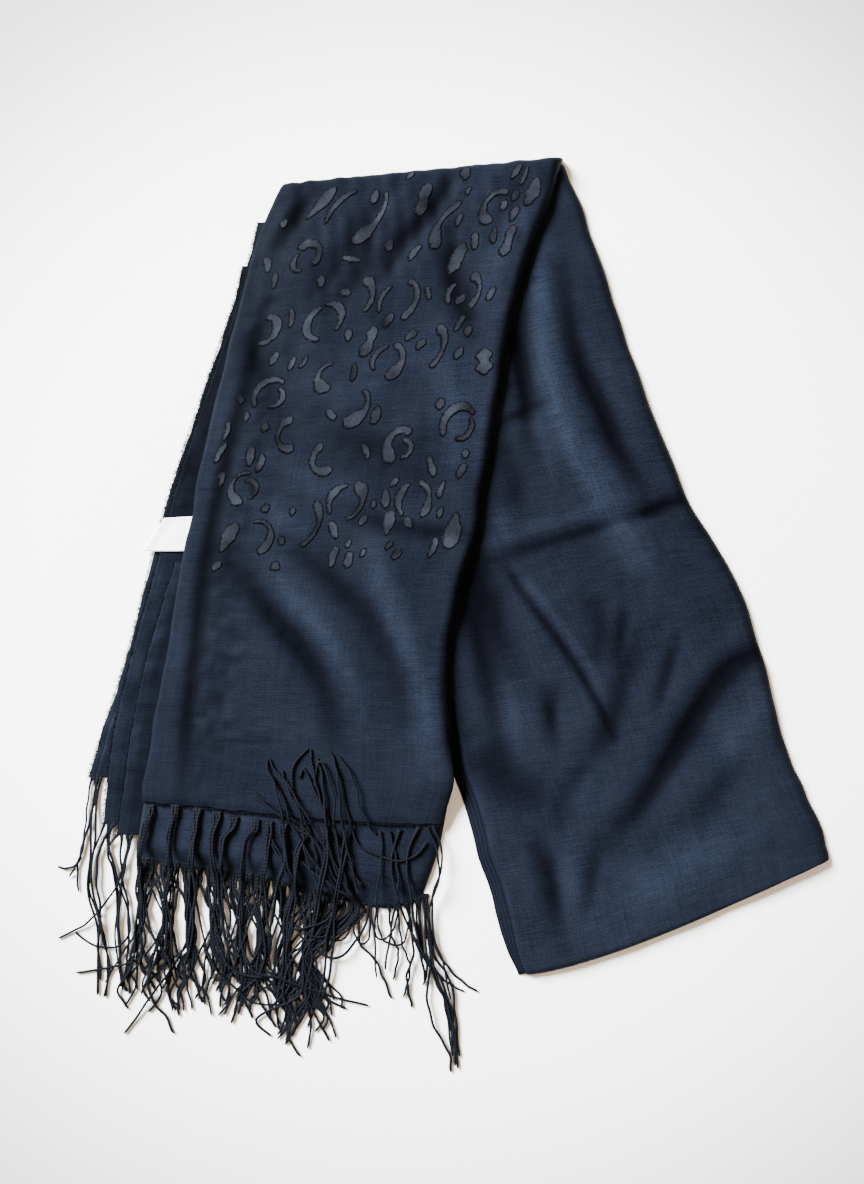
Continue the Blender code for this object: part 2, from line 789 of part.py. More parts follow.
def end_layer(name, spec):
    """A fringed end's layer along the left side: a strip of wall that runs in under the top panel."""
    side = smooth_line(spec["side"], 4 * len(spec["side"]) - 3)
    outer, inner = [], []
    for x, y in side:
        inside_x = left_side_x(y) + END_LAYER_REACH
        top_line, bottom_line = [], []
        for share in END_LAYER_SHARES:
            place_x = x + (inside_x - x) * share
            base = left_base(place_x, y)
            soften = EDGE_SOFTEN if share == 0.0 else 0.0
            top_line.append(turned(place_x, y, base + spec["bed"] + END_WALL - soften))
            bottom_line.append(turned(place_x, y, base + spec["bed"]))
        outer.append(top_line)
        inner.append(bottom_line)
    return skin(name, outer, inner, link_same(len(END_LAYER_SHARES)))


def label_tab():
    """The bare white woven tab that sticks out between the layers on the left."""
    outer, inner = [], []
    top_out, top_in = np.array(LABEL["outer_top"]), np.array(LABEL["inner_top"])
    low_out, low_in = np.array(LABEL["outer_bottom"]), np.array(LABEL["inner_bottom"])
    for row in (0.0, 0.5, 1.0):
        out_point = top_out + (low_out - top_out) * row
        in_point = top_in + (low_in - top_in) * row
        top_line, bottom_line = [], []
        for share in LABEL_SHARES:
            x, y = out_point + (in_point - out_point) * share
            bed = LABEL["bed"]
            if x < LABEL["droop_past"]:
                bed -= LABEL["droop"] * (1 - smooth(share / LABEL["droop_share"])) * row
            top_line.append(turned(x, y, bed + LABEL["thickness"]))
            bottom_line.append(turned(x, y, bed))
        outer.append(top_line)
        inner.append(bottom_line)
    return skin("label_tab", outer, inner, link_same(len(LABEL_SHARES)))


def right_point(down, across, foot, side, depth):
    """A point of the right strand, depth in from its top face."""
    x, y = RIGHT.point(down, across)
    height = right_top(x, y, depth >= WALL)
    x, y = RIGHT.point(down - depth * math.cos(foot), across - depth * math.cos(side))
    return x, y, (height - depth) * math.sin(foot) * math.sin(side)


def right_rows():
    """Rows down the right strand, ending in its lower fold: (distance down, slope angle)."""
    turn = round_steps(FOOT_RADIUS, SIDE_STEPS)
    level = spaced(0.0, RIGHT_LENGTH - FOOT_RADIUS, ROW_STEP)[:-1]
    flat = [(down, FLAT) for down in level]
    return flat + [(RIGHT_LENGTH - inward, angle) for inward, angle in reversed(turn)]


def every_other(columns):
    """The first column and then every second one, always keeping the turn down the side."""
    turn = columns[-SIDE_STEPS - 1:]
    flat = columns[:-SIDE_STEPS - 1]
    return flat[::2] + turn


def nearest_link(outer_columns, inner_columns):
    """For each outer column, the inner column that it is capped to."""
    link = []
    for across in outer_columns:
        passed = [i for i, other in enumerate(inner_columns) if other <= across + 1e-6]
        link.append(passed[-1] if passed else 0)
    link[-1] = len(inner_columns) - 1
    for i in range(len(link) - 1, 0, -1):
        link[i - 1] = max(link[i - 1], link[i] - 1)
    return link


def right_columns():
    """Columns across the right strand, the last ones round its right side."""
    turn = round_steps(SIDE_RADIUS, SIDE_STEPS)
    level = spaced(RIGHT_STEP_ROOM, NOMINAL_WIDTH - SIDE_RADIUS, COLUMN_STEP)[:-1]
    flat = [(across, FLAT) for across in level]
    return flat + [(NOMINAL_WIDTH - inward, angle) for inward, angle in reversed(turn)]


def right_panel():
    """The right strand's top layer, rounded down along its right side and its lower fold."""
    columns = [(0.0, FLAT)] + right_columns()
    inner_columns = [(0.0, FLAT)] + every_other(right_columns())
    link = nearest_link([c[0] for c in columns], [c[0] for c in inner_columns])
    outer, inner = [], []
    for down, foot in right_rows():
        outer.append([turned(*right_point(down, a, foot, side, 0.0)) for a, side in columns])
        inner.append([turned(*right_point(down, a, foot, side, WALL)) for a, side in inner_columns])
    return skin("right_top_panel", outer, inner, link)


def right_core():
    """The right strand's hidden layers as one solid, flat below and stepped along its left side."""
    inset = WALL + CORE_GAP
    flat = every_other(right_columns())[:-1]
    outer, inner = [], []
    for down, foot in right_rows()[:-2]:
        near_foot = smooth((down - RIGHT_LENGTH + FOOT_STEP_LENGTH) / FOOT_STEP_LENGTH)
        spread = 1.0 - FOOT_STEP_SHRINK * near_foot
        lower = math.sin(foot)
        drop = (inset + 2 * GAP) * math.cos(foot)
        steps = []
        for i, (out, top) in enumerate(RIGHT_STEPS):
            next_out = RIGHT_STEPS[i + 1][0] if i + 1 < len(RIGHT_STEPS) else 0.2
            steps.append((-out * spread, top * lower - STEP_SLOPE))
            steps.append((-next_out * spread, top * lower))
        line = []
        for across, z in steps:
            x, y = RIGHT.point(down - drop, across)
            line.append(turned(x, y, z))
        for across, side in flat:
            line.append(turned(*right_point(down, across, foot, side, inset)))
        outer.append(line)
        line = []
        x, y = RIGHT.point(down - drop, -RIGHT_STEPS[0][0] * spread)
        line.append(turned(x, y, 0.0))
        for across, side in [(across, FLAT) for across in BED_COLUMNS[1:]] + [flat[-1]]:
            x, y, _ = right_point(down, across, foot, side, inset)
            line.append(turned(x, y, 0.0))
        inner.append(line)
    link = [0] * (2 * len(RIGHT_STEPS))
    link += nearest_link([c[0] for c in flat], list(BED_COLUMNS) + [flat[-1][0]])
    return skin("right_folded_layers", outer, inner, link)


def fringe(name, roots, bed, strands):
    """A strip along a hem with one strand grown from its front for each route.

    roots is the strip's back edge in plan, with a point at both sides of each strand;
    strands gives, for each strand, the points that its middle follows.
    """
    mesh = bmesh.new()
    front_low, front_high, back_low, back_high = [], [], [], []
    for (x, y), (front_x, front_y) in roots:
        back_low.append(mesh.verts.new(turned(x, y, bed)))
        back_high.append(mesh.verts.new(turned(x, y, bed + ROOT_HEIGHT)))
        front_low.append(mesh.verts.new(turned(front_x, front_y, bed)))
        front_high.append(mesh.verts.new(turned(front_x, front_y, bed + ROOT_HEIGHT)))
    root_faces = []
    last = len(roots) - 1
    for i in range(last):
        mesh.faces.new((back_high[i], back_high[i + 1], front_high[i + 1], front_high[i]))
        mesh.faces.new((back_low[i], front_low[i], front_low[i + 1], back_low[i + 1]))
        mesh.faces.new((back_low[i], back_low[i + 1], back_high[i + 1], back_high[i]))
        ring = (front_low[i], front_high[i], front_high[i + 1], front_low[i + 1])
        if i % 2 == 1:
            root_faces.append(ring)
        else:
            mesh.faces.new(ring)
    for i in (0, last):
        mesh.faces.new((back_low[i], back_high[i], front_high[i], front_low[i]))
    for ring, route in zip(root_faces, strands):
        grow_strand(mesh, ring, route)
    return finish(name, mesh)


def grow_strand(mesh, ring, route):
    """Carries a four-sided ring along a route of (x, y, z) points and closes it."""
    corners = ((-1, -1), (-1, 1), (1, 1), (1, -1))
    points = [Vector(point) for point in route]
    side = Vector(ring[3].co) - Vector(ring[0].co)
    for i, point in enumerate(points):
        run = points[min(i + 1, len(points) - 1)] - points[max(i - 1, 0)]
        run.normalize()
        side = (side - run * side.dot(run)).normalized()
        up = run.cross(side)
        thin = TIP_SHARE if i == len(points) - 1 else 1.0
        wide = side * (thin * FRINGE_GAUGE / 2)
        thick = up * (thin * FRINGE_THICK / 2)
        fresh = []
        for s, u in corners:
            fresh.append(mesh.verts.new(turned(*(point + wide * s + thick * u))))
        for k in range(4):
            mesh.faces.new((ring[k], ring[(k + 1) % 4], fresh[(k + 1) % 4], fresh[k]))
        ring = fresh
    mesh.faces.new(ring)


def hem_roots(strip, first, last, count):
    """Back and front points of a fringe strip along a hem, and each strand's root and heading."""
    roots, middles = [], []
    edge = strip.start + strip.length

    def both(across):
        x, y = strip.point(edge, across)
        x2, y2 = strip.point(edge, across + 0.5)
        run = math.hypot(x2 - x, y2 - y)
        out_x, out_y = (y2 - y) / run, -(x2 - x) / run
        back = (x + out_x * GAP, y + out_y * GAP)
        front = (back[0] + out_x * FRINGE_ROOT, back[1] + out_y * FRINGE_ROOT)
        return back, front, (out_x, out_y)

    roots.append(both(first)[:2])
    for i in range(count):
        across = first + (last - first) * (i + 0.5) / count
        for side in (-0.5, 0.5):
            roots.append(both(across + side * FRINGE_GAUGE)[:2])
        back, front, out = both(across)
        middles.append((front, out))
    roots.append(both(last)[:2])
    return roots, middles


def drift(draw, count, reach, pull):
    """Sideways drift of each strand's tip: uneven, but no two neighbours ever cross."""
    values = [0.0]
    for _ in range(count - 1):
        values.append(values[-1] * pull + draw.uniform(-reach, reach))
    return values


def wavy_route(draw, root, out, length, lean, sway, steps, height):
    """A lying strand's route from its root, height giving its middle's height in plan."""
    phase = draw.uniform(0, 2 * math.pi)
    route = []
    for k in range(1, steps + 1):
        t = k / steps
        ripple = FRINGE_RIPPLE * math.sin(phase + RIPPLE_TURNS * t) * t
        x = root[0] + out[0] * length * t + lean * t * t + sway * t + ripple
        y = root[1] + out[1] * length * t
        route.append((x, y, height(x, y)))
    return route


def top_fringe():
    """Strands from the top panel's hem: over the second layer, then down past it."""
    draw = random.Random(TOP_STRANDS["seed"])
    parts = []
    for name, first, last, count, lean in TOP_FRINGES:
        roots, middles = hem_roots(TOP, first, last, count)
        sways = drift(draw, count, TOP_STRANDS["sway"], TOP_STRANDS["follow"])
        routes = []
        for (root, out), sway in zip(middles, sways):
            length = draw.uniform(*TOP_STRANDS["length"])
            steps = TOP_STRANDS["steps"]
            routes.append(wavy_route(draw, root, out, length, lean, sway, steps, over_second))
        parts.append(fringe(name, roots, SECOND_BED + SECOND_WALL + GAP, routes))
    return parts


def over_second(x, y):
    """Middle height of a strand that crosses the second layer and then the strands below."""
    left, right = SECOND.sides(SECOND_END)
    share = min(max((x - left[0]) / (right[0] - left[0]), 0.0), 1.0)
    to_hem = y - SECOND.point(SECOND_END, share * NOMINAL_WIDTH)[1]
    on_layer = second_bed(to_hem + STRAND_LAG) + SECOND_WALL + GAP + FRINGE_GAUGE / 2
    return on_layer + left_base(x, y)


def near_floor(x, y):
    return FLOOR_LINE


def second_fringe():
    """Strands from the second layer's hem, lying near the floor."""
    draw = random.Random(SECOND_STRANDS["seed"])
    parts = []
    for name, first, last, count, lean in SECOND_FRINGES:
        roots, middles = hem_roots(SECOND, first, last, count)
        sways = drift(draw, count, SECOND_STRANDS["sway"], SECOND_STRANDS["follow"])
        routes = []
        for (root, out), sway in zip(middles, sways):
            length = draw.uniform(*SECOND_STRANDS["length"])
            steps = SECOND_STRANDS["steps"]
            straight = (0.3 * out[0], -1.0)
            routes.append(wavy_route(draw, root, straight, length, lean, sway, steps, near_floor))
        parts.append(fringe(name, roots, GAP, routes))
    return parts


def end_fringe(name, spec):
    """A few strands from an end layer's hem, coming down to just over the floor."""
    draw = random.Random(name)
    (x0, y0), (x1, _) = spec["hem"]
    count = len(spec["leans"])
    roots = [((x0, y0 - GAP), (x0, y0 - GAP - FRINGE_ROOT))]
    routes = []
    for i, lean in enumerate(spec["leans"]):
        middle = x0 + (x1 - x0) * (i + 0.5) / count
        for side in (-0.5, 0.5):
            x = middle + side * FRINGE_GAUGE
            roots.append(((x, y0 - GAP), (x, y0 - GAP - FRINGE_ROOT)))
        start = spec["bed"] + ROOT_HEIGHT / 2

        def settle(x, y):
            up = smooth((y - y0 + SETTLE_START) / SETTLE_LENGTH)
            return FLOOR_LINE + (start - FLOOR_LINE) * up

        length = spec["length"] * draw.uniform(*END_LENGTHS)
        root = (middle, y0 - GAP - FRINGE_ROOT)
        steps = SECOND_STRANDS["steps"]
        routes.append(wavy_route(draw, root, (0.0, -1.0), length, lean, 0.0, steps, settle))
    roots.append(((x1, y0 - GAP), (x1, y0 - GAP - FRINGE_ROOT)))
    return fringe(name, roots, spec["bed"], routes)


def flipped_fringe():
    """Strands of the second layer's hem that loop back over it and lie on the top panel."""
    roots, middles = hem_roots(SECOND, *FLIPPED_HEM, len(FLIPPED_TIPS))
    routes = []
    for ((x, y), (out_x, out_y)), (tip_x, tip_y) in zip(middles, FLIPPED_TIPS):
        route = [(x + out_x * past, y + out_y * past, z) for past, z in FLIP_LOOP]
        last_x, last_y, last_z = route[-1]
        for k in range(1, FLIPPED_STEPS + 1):
            t = k / FLIPPED_STEPS
            bend = FLIPPED_BEND * math.sin(math.pi * t)
            z = last_z + (FLIPPED_HEIGHT - last_z) * smooth(FLIPPED_RISE * t)
            route.append((last_x + (tip_x - last_x) * t + bend, last_y + (tip_y - last_y) * t, z))
        routes.append(route)
    return fringe("fringe_flipped_up", roots, GAP, routes)


def clear_scene():
    for thing in list(bpy.data.objects):
        bpy.data.objects.remove(thing, do_unlink=True)


def main():
    clear_scene()
    navy = cloth_material("navy_cloth", (0.028, 0.040, 0.062), 0.72)
    yarn = cloth_material("fringe_yarn", (0.016, 0.022, 0.034), 0.80)
    white = cloth_material("label_satin", (0.86, 0.86, 0.84), 0.55)
    cloth = [top_panel(), second_layer(), left_core(), right_panel(), right_core()]
    cloth += [end_layer(name, spec) for name, spec in END_LAYERS.items()]
    strands = top_fringe() + second_fringe() + [flipped_fringe()]
    strands += [end_fringe(name, spec) for name, spec in END_FRINGES.items()]
    label = label_tab()
    for thing in cloth:
        thing.data.materials.append(navy)
    for thing in strands:
        thing.data.materials.append(yarn)
    label.data.materials.append(white)


main()
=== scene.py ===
import math
import random

import bpy
import numpy as np
from mathutils.geometry import delaunay_2d_cdt
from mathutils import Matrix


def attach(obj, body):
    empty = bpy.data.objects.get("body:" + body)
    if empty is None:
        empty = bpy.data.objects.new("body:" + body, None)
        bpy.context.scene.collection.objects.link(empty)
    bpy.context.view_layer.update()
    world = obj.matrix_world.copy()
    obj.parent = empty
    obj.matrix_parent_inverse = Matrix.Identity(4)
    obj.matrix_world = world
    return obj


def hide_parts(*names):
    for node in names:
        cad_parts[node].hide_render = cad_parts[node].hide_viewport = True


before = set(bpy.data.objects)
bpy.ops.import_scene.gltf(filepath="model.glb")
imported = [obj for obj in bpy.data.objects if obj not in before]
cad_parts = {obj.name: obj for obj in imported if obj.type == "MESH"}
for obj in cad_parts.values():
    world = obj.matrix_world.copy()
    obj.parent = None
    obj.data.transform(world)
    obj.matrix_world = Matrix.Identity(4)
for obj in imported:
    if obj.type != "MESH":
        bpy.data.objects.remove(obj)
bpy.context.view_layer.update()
print("frame loaded:", len(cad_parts), "nodes")

# a rectangular scarf, folded in four, doubled and laid flat in an inverted V
# the tables are in millimetres, in the scarf's own plan, whose middle lies on the origin
mm = 0.001
middle = {"x": 10.5, "y": 2.0}


def addNode(tree, kind, values=None, **settings):
    node = tree.nodes.new("ShaderNode" + kind)
    for key, value in settings.items():
        setattr(node, key, value)
    for key, value in (values or {}).items():
        node.inputs[key].default_value = value
    return node


def wire(start, end):
    start.id_data.links.new(start, end)


def isSocket(value):
    return hasattr(value, "links")


def calculate(operation, a, b=None):
    node = addNode((a if isSocket(a) else b).id_data, "Math", operation=operation)
    for socket, value in zip(node.inputs, (a, b)):
        if isSocket(value):
            wire(value, socket)
        elif value is not None:
            socket.default_value = value
    return node.outputs[0]


def plus(a, b):
    return calculate("ADD", a, b)


def minus(a, b):
    return calculate("SUBTRACT", a, b)


def times(a, b):
    return calculate("MULTIPLY", a, b)


def clamped(value):
    node = addNode(value.id_data, "Clamp")
    wire(value, node.inputs[0])
    return node.outputs[0]


def blendColour(factor, first, second):
    mix = addNode(factor.id_data, "Mix", data_type="RGBA")
    wire(factor, mix.inputs["Factor"])
    for socket, colour in ((mix.inputs["A"], first), (mix.inputs["B"], second)):
        if isSocket(colour):
            wire(colour, socket)
        else:
            socket.default_value = (*colour, 1.0)
    return mix.outputs["Result"]


def toned(colour, share):
    return tuple(c * share for c in colour)


def noiseOn(tree, scale, detail, roughness=0.5):
    # unevenness in the object's own space
    place = addNode(tree, "TexCoord")
    noise = addNode(tree, "TexNoise", {"Scale": scale, "Detail": detail, "Roughness": roughness})
    wire(place.outputs["Object"], noise.inputs["Vector"])
    return noise.outputs[0]


def clothUv(tree):
    # the piece's own UV map in metres, split into across and down
    split = addNode(tree, "SeparateXYZ")
    wire(addNode(tree, "UVMap", uv_map="cloth").outputs[0], split.inputs[0])
    return split.outputs


def newMaterial(name, values):
    material = bpy.data.materials.new(name)
    material.use_nodes = True
    shader = material.node_tree.nodes["Principled BSDF"]
    for socket, value in values.items():
        shader.inputs[socket].default_value = value
    return material, material.node_tree, shader


def giveBump(shader, height, strength, distance):
    bump = addNode(height.id_data, "Bump", {"Strength": strength, "Distance": distance})
    wire(height, bump.inputs["Height"])
    wire(bump.outputs[0], shader.inputs["Normal"])


# camera, light and floor
view = {"target": (-0.0105, -0.002, 0.0), "elevation": 84.0, "distance": 0.71, "lens": 35.0}
studio = {
    "keyLight": {"place": (-2.3, 1.7, 1.9), "size": 1.7, "power": 1490.0, "colour": (0.93, 0.97, 1.0)},
    "fillLight": {"place": (1.2, -1.0, 1.6), "size": 1.6, "power": 26.0, "colour": (1.0, 0.80, 0.60)},
}
room = {"Color": (1.0, 0.74, 0.48, 1.0), "Strength": 0.52}
# the floor colour falls from its middle to its corners as painted light falloff
ground = {"side": 6.0, "height": -0.0002, "fall": (0.24, 0.50), "tones": (0.93, 0.30)}


def placeCamera():
    turn = math.radians(view["elevation"])
    x, y, z = view["target"]
    reach = view["distance"]
    bpy.ops.object.camera_add(location=(x, y - reach * math.cos(turn), z + reach * math.sin(turn)))
    camera = bpy.context.object
    camera.rotation_euler = (math.pi / 2 - turn, 0.0, 0.0)
    camera.data.lens = view["lens"]
    camera.data.sensor_width = 36.0
    camera.data.clip_start = 0.01
    bpy.context.scene.camera = camera


def addLight(name, lamp):
    # a round soft light that looks at the middle of the scarf
    x, y, z = lamp["place"]
    bpy.ops.object.light_add(type="AREA", location=lamp["place"])
    light = bpy.context.object
    light.name = name
    light.data.shape = "DISK"
    light.data.size = lamp["size"]
    light.data.energy = lamp["power"]
    light.data.color = lamp["colour"]
    light.rotation_euler = (math.atan2(math.hypot(x, y), z), 0.0, math.atan2(x, -y))


def layFloor():
    # pale paper whose colour falls off softly towards its far corners, as painted light falloff
    bpy.ops.mesh.primitive_plane_add(size=ground["side"], location=(0.0, 0.0, ground["height"]))
    floor = bpy.context.object
    floor.name = "floor"
    material, tree, shader = newMaterial("paleFloor", {"Roughness": 0.9, "Specular IOR Level": 0.2})
    place = addNode(tree, "TexCoord")
    reach = addNode(tree, "VectorMath", operation="LENGTH")
    ramp = addNode(tree, "ValToRGB")
    ramp.color_ramp.interpolation = "EASE"
    for stop, position, tone in zip(ramp.color_ramp.elements, ground["fall"], ground["tones"]):
        stop.position = position
        stop.color = (tone, tone, tone, 1.0)
    wire(place.outputs["Object"], reach.inputs[0])
    wire(reach.outputs["Value"], ramp.inputs[0])
    wire(ramp.outputs[0], shader.inputs["Base Color"])
    floor.data.materials.append(material)


placeCamera()
for lampName, lamp in studio.items():
    addLight(lampName, lamp)
world = bpy.data.worlds.new("room")
world.use_nodes = True
for socketName, roomValue in room.items():
    world.node_tree.nodes["Background"].inputs[socketName].default_value = roomValue
bpy.context.scene.world = world
layFloor()
print("stage set")

# thread is in metres; each row of streaks is (scale across, scale down, offset), slubs first
finish = {
    "navyDark": (0.0015, 0.0020, 0.0037), "navyLight": (0.0063, 0.0076, 0.0128),
    "pile": (0.0092, 0.0106, 0.0146), "pileEdge": (0.0003, 0.0003, 0.0006),
    "yarnDark": (0.0006, 0.0007, 0.0014), "yarnLight": (0.0040, 0.0052, 0.0092),
    "thread": 0.00042, "streaks": ((55.0, 1500.0, 3.0), (620.0, 12.0, 11.0), (900.0, 1100.0, 23.0)),
    "foldPowers": (1.0, 1.16, 1.14), "twist": 0.0021, "selvedgeLine": 0.0007,
}


def weaveGroup():
    # plain weave, long slubs along the weft and faint warp streaks
    group = bpy.data.node_groups.new("plainWeave", "ShaderNodeTree")
    for name, side, kind in (
        ("Cloth UV", "INPUT", "Vector"), ("Thread", "INPUT", "Float"), ("Slub", "INPUT", "Float"),
        ("Tone", "OUTPUT", "Float"), ("Height", "OUTPUT", "Float"),
    ):
        group.interface.new_socket(name=name, in_out=side, socket_type="NodeSocket" + kind)
    given = group.nodes.new("NodeGroupInput").outputs
    result = group.nodes.new("NodeGroupOutput").inputs
    split = addNode(group, "SeparateXYZ")
    wire(given["Cloth UV"], split.inputs[0])
    around = calculate("DIVIDE", math.pi, given["Thread"])
    warp, weft = (calculate("SINE", times(split.outputs[k], around)) for k in range(2))
    streaks = []
    for scaleU, scaleV, offset in finish["streaks"]:
        mapping = addNode(group, "Mapping", {"Scale": (scaleU, scaleV, 1.0), "Location": (offset,) * 3})
        noise = addNode(group, "TexNoise", {"Scale": 1.0, "Detail": 3.0, "Roughness": 0.6})
        wire(given["Cloth UV"], mapping.inputs["Vector"])
        wire(mapping.outputs[0], noise.inputs["Vector"])
        streaks.append(minus(noise.outputs[0], 0.5))
    slub = times(streaks[0], given["Slub"])
    tone = plus(plus(times(slub, 1.25), times(streaks[1], 0.5)), times(streaks[2], 1.6))
    wire(plus(tone, 0.5), result["Tone"])
    wire(plus(times(times(warp, weft), 0.35), slub), result["Height"])
    return group


weave = weaveGroup()


def placeWeave(tree, slub):
    group = addNode(tree, "Group", {"Thread": finish["thread"], "Slub": slub}, node_tree=weave)
    wire(addNode(tree, "UVMap", uv_map="cloth").outputs[0], group.inputs["Cloth UV"])
    return group.outputs


def clothMaterial(name, shade=1.0, selvedge=None):
    # shade darkens a layer as painted shade; selvedge draws a paler woven line this far in from the edge, in
    # metres
    material, tree, shader = newMaterial(name, {
        "Specular IOR Level": 0.02, "Specular Tint": (0.5, 0.7, 1.0, 1.0),
        "Sheen Weight": 0.004, "Sheen Roughness": 0.4, "Sheen Tint": (0.42, 0.60, 1.0, 1.0),
    })
    woven = placeWeave(tree, 1.0)
    tone = clamped(plus(woven["Tone"], minus(noiseOn(tree, 30.0, 5.0, 0.68), 0.5)))
    colour = blendColour(tone, toned(finish["navyDark"], shade), toned(finish["navyLight"], shade))
    if selvedge:
        away = calculate("ABSOLUTE", minus(clothUv(tree)[0], selvedge))
        line = minus(1.0, calculate("DIVIDE", away, finish["selvedgeLine"]))
        line = times(calculate("MAXIMUM", line, 0.0), 0.6)
        colour = blendColour(line, colour, toned(finish["navyLight"], 1.7))
    # painted shading: a per-point value darkens the colour as painted shade and lightens it as painted
    # highlight, shifting its hue a little with the value
    fold = addNode(tree, "Attribute", attribute_name="fold")
    level = addNode(tree, "CombineColor")
    for socket, power in zip(level.inputs, finish["foldPowers"]):
        wire(calculate("POWER", fold.outputs["Fac"], power), socket)
    depth = addNode(tree, "Mix", {"Factor": 1.0}, data_type="RGBA", blend_type="MULTIPLY")
    wire(colour, depth.inputs["A"])
    wire(level.outputs[0], depth.inputs["B"])
    wire(depth.outputs["Result"], shader.inputs["Base Color"])
    rough = addNode(tree, "MapRange", {"To Min": 0.66, "To Max": 0.56})
    wire(tone, rough.inputs["Value"])
    wire(rough.outputs[0], shader.inputs["Roughness"])
    giveBump(shader, woven["Height"], 0.35, 0.00022)
    return material


def pileMaterial():
    # brushed pile of the raised marks: pale inside, a thin dark outline round it, partly the mark's own colour
    # and partly painted shade
    material, tree, shader = newMaterial("brushedPile", {
        "Roughness": 0.95, "Specular IOR Level": 0.03,
        "Sheen Weight": 0.012, "Sheen Roughness": 0.5, "Sheen Tint": (0.8, 0.86, 1.0, 1.0),
    })
    grain = noiseOn(tree, 720.0, 4.0, 0.7)
    patch = addNode(tree, "MapRange", {"From Min": 0.3, "From Max": 0.7})
    wire(noiseOn(tree, 60.0, 3.0), patch.inputs["Value"])
    amount = addNode(tree, "Attribute", attribute_name="pile")
    ragged = clamped(plus(amount.outputs["Fac"], times(minus(grain, 0.5), 3.2)))
    inside = blendColour(patch.outputs[0], toned(finish["pile"], 0.3), toned(finish["pile"], 1.4))
    wire(blendColour(ragged, finish["pileEdge"], inside), shader.inputs["Base Color"])
    giveBump(shader, grain, 0.6, 0.0003)
    return material


def yarnMaterial():
    # two plies twisted: the UV map runs once round a strand and along it in metres
    material, tree, shader = newMaterial("twistedYarn", {
        "Roughness": 0.72, "Specular IOR Level": 0.05,
        "Sheen Weight": 0.004, "Sheen Tint": (0.6, 0.72, 1.0, 1.0),
    })
    around, along = clothUv(tree)[:2]
    phase = plus(times(around, 4 * math.pi), times(along, 2 * math.pi / finish["twist"]))
    ply = plus(times(calculate("SINE", phase), 0.5), 0.5)
    fuzz = noiseOn(tree, 900.0, 3.0)
    # the colour is painted shade in the grooves between the plies and painted highlights on them, broken by
    # fuzz
    tone = times(ply, plus(fuzz, 0.25))
    wire(blendColour(tone, finish["yarnDark"], finish["yarnLight"]), shader.inputs["Base Color"])
    giveBump(shader, plus(ply, times(fuzz, 0.5)), 0.7, 0.0002)
    return material


def tapeMaterial():
    material, tree, shader = newMaterial("whiteTape", {"Roughness": 0.5, "Sheen Weight": 0.15})
    woven = placeWeave(tree, 0.5)
    colour = blendColour(woven["Tone"], (0.74, 0.74, 0.73), (0.88, 0.88, 0.87))
    wire(colour, shader.inputs["Base Color"])
    giveBump(shader, woven["Height"], 0.3, 0.0001)
    return material


# the under, hidden and edge layers use darker copies of the cloth as painted shade
materials = {
    "cloth": clothMaterial("navyCloth"),
    "under": clothMaterial("navyUnderLayer", shade=0.9, selvedge=0.0046),
    "plain": clothMaterial("navyHiddenLayer", shade=0.9),
    "edges": clothMaterial("navyLayerEdges", shade=0.85, selvedge=0.0016),
    "pile": pileMaterial(),
    "yarn": yarnMaterial(),
    "tape": tapeMaterial(),
}
print("finishes made")


def smooth(value):
    value = np.clip(value, 0.0, 1.0)
    return value * value * (3 - 2 * value)


def bell(away, width):
    # 1 at no distance, soft down to 0 at about twice the width
    return np.exp(-((away / width) ** 2))


def rounded(away, radius):
    # height on a rounded edge, from 0 at the edge to 1 this radius in from it
    return np.sin(np.arccos(np.clip(1 - away / radius, 0.0, 1.0)))


def spline(before, a, b, after, t):
    bend = (-before + 3 * a - 3 * b + after) * t ** 3
    bend += (2 * before - 5 * a + 4 * b - after) * t ** 2
    return a + 0.5 * ((b - before) * t + bend)


def smoothLine(points, count):
    # evenly numbered points on a smooth curve through a few
    table = np.array(points, float)
    last = len(table) - 1
    place = np.linspace(0.0, last, count)
    i = np.minimum(place.astype(int), last - 1)
    before, after = table[np.maximum(i - 1, 0)], table[np.minimum(i + 2, last)]
    return spline(before, table[i], table[i + 1], after, (place - i)[:, None])


def runOf(line):
    # the way along a line to each of its points
    return np.concatenate([[0.0], np.cumsum(np.linalg.norm(np.diff(line, axis=0), axis=1))])


def pointsAt(line, want):
    run = runOf(line)
    return np.stack([np.interp(want, run, column) for column in line.T], axis=-1)


def evenSteps(start, stop, step):
    return list(np.linspace(start, stop, max(2, round((stop - start) / step) + 1)))


def turnSteps(radius, steps):
    return [radius - radius * math.cos(math.pi / 2 * i / steps) for i in range(steps)]


def rolledSteps(start, stop, radius, step, turns):
    # even steps up to a rounded edge, then closer ones round it
    return evenSteps(start, stop - radius, step) + [stop - out for out in reversed(turnSteps(radius, turns))]


def inRows(values):
    return np.array(values)[:, None]


def ripples(x, y, seed, size, count=14):
    # soft unevenness with crests about this far apart, about 1 high
    draw = random.Random(seed)
    total = np.zeros(np.broadcast(x, y).shape)
    for _ in range(count):
        turn = draw.uniform(0.0, 2 * math.pi)
        wave = 2 * math.pi / (size * draw.uniform(0.6, 1.8))
        phase = draw.uniform(0.0, 2 * math.pi)
        total += np.sin((x * math.cos(turn) + y * math.sin(turn)) * wave + phase)
    return total / math.sqrt(2 * count)


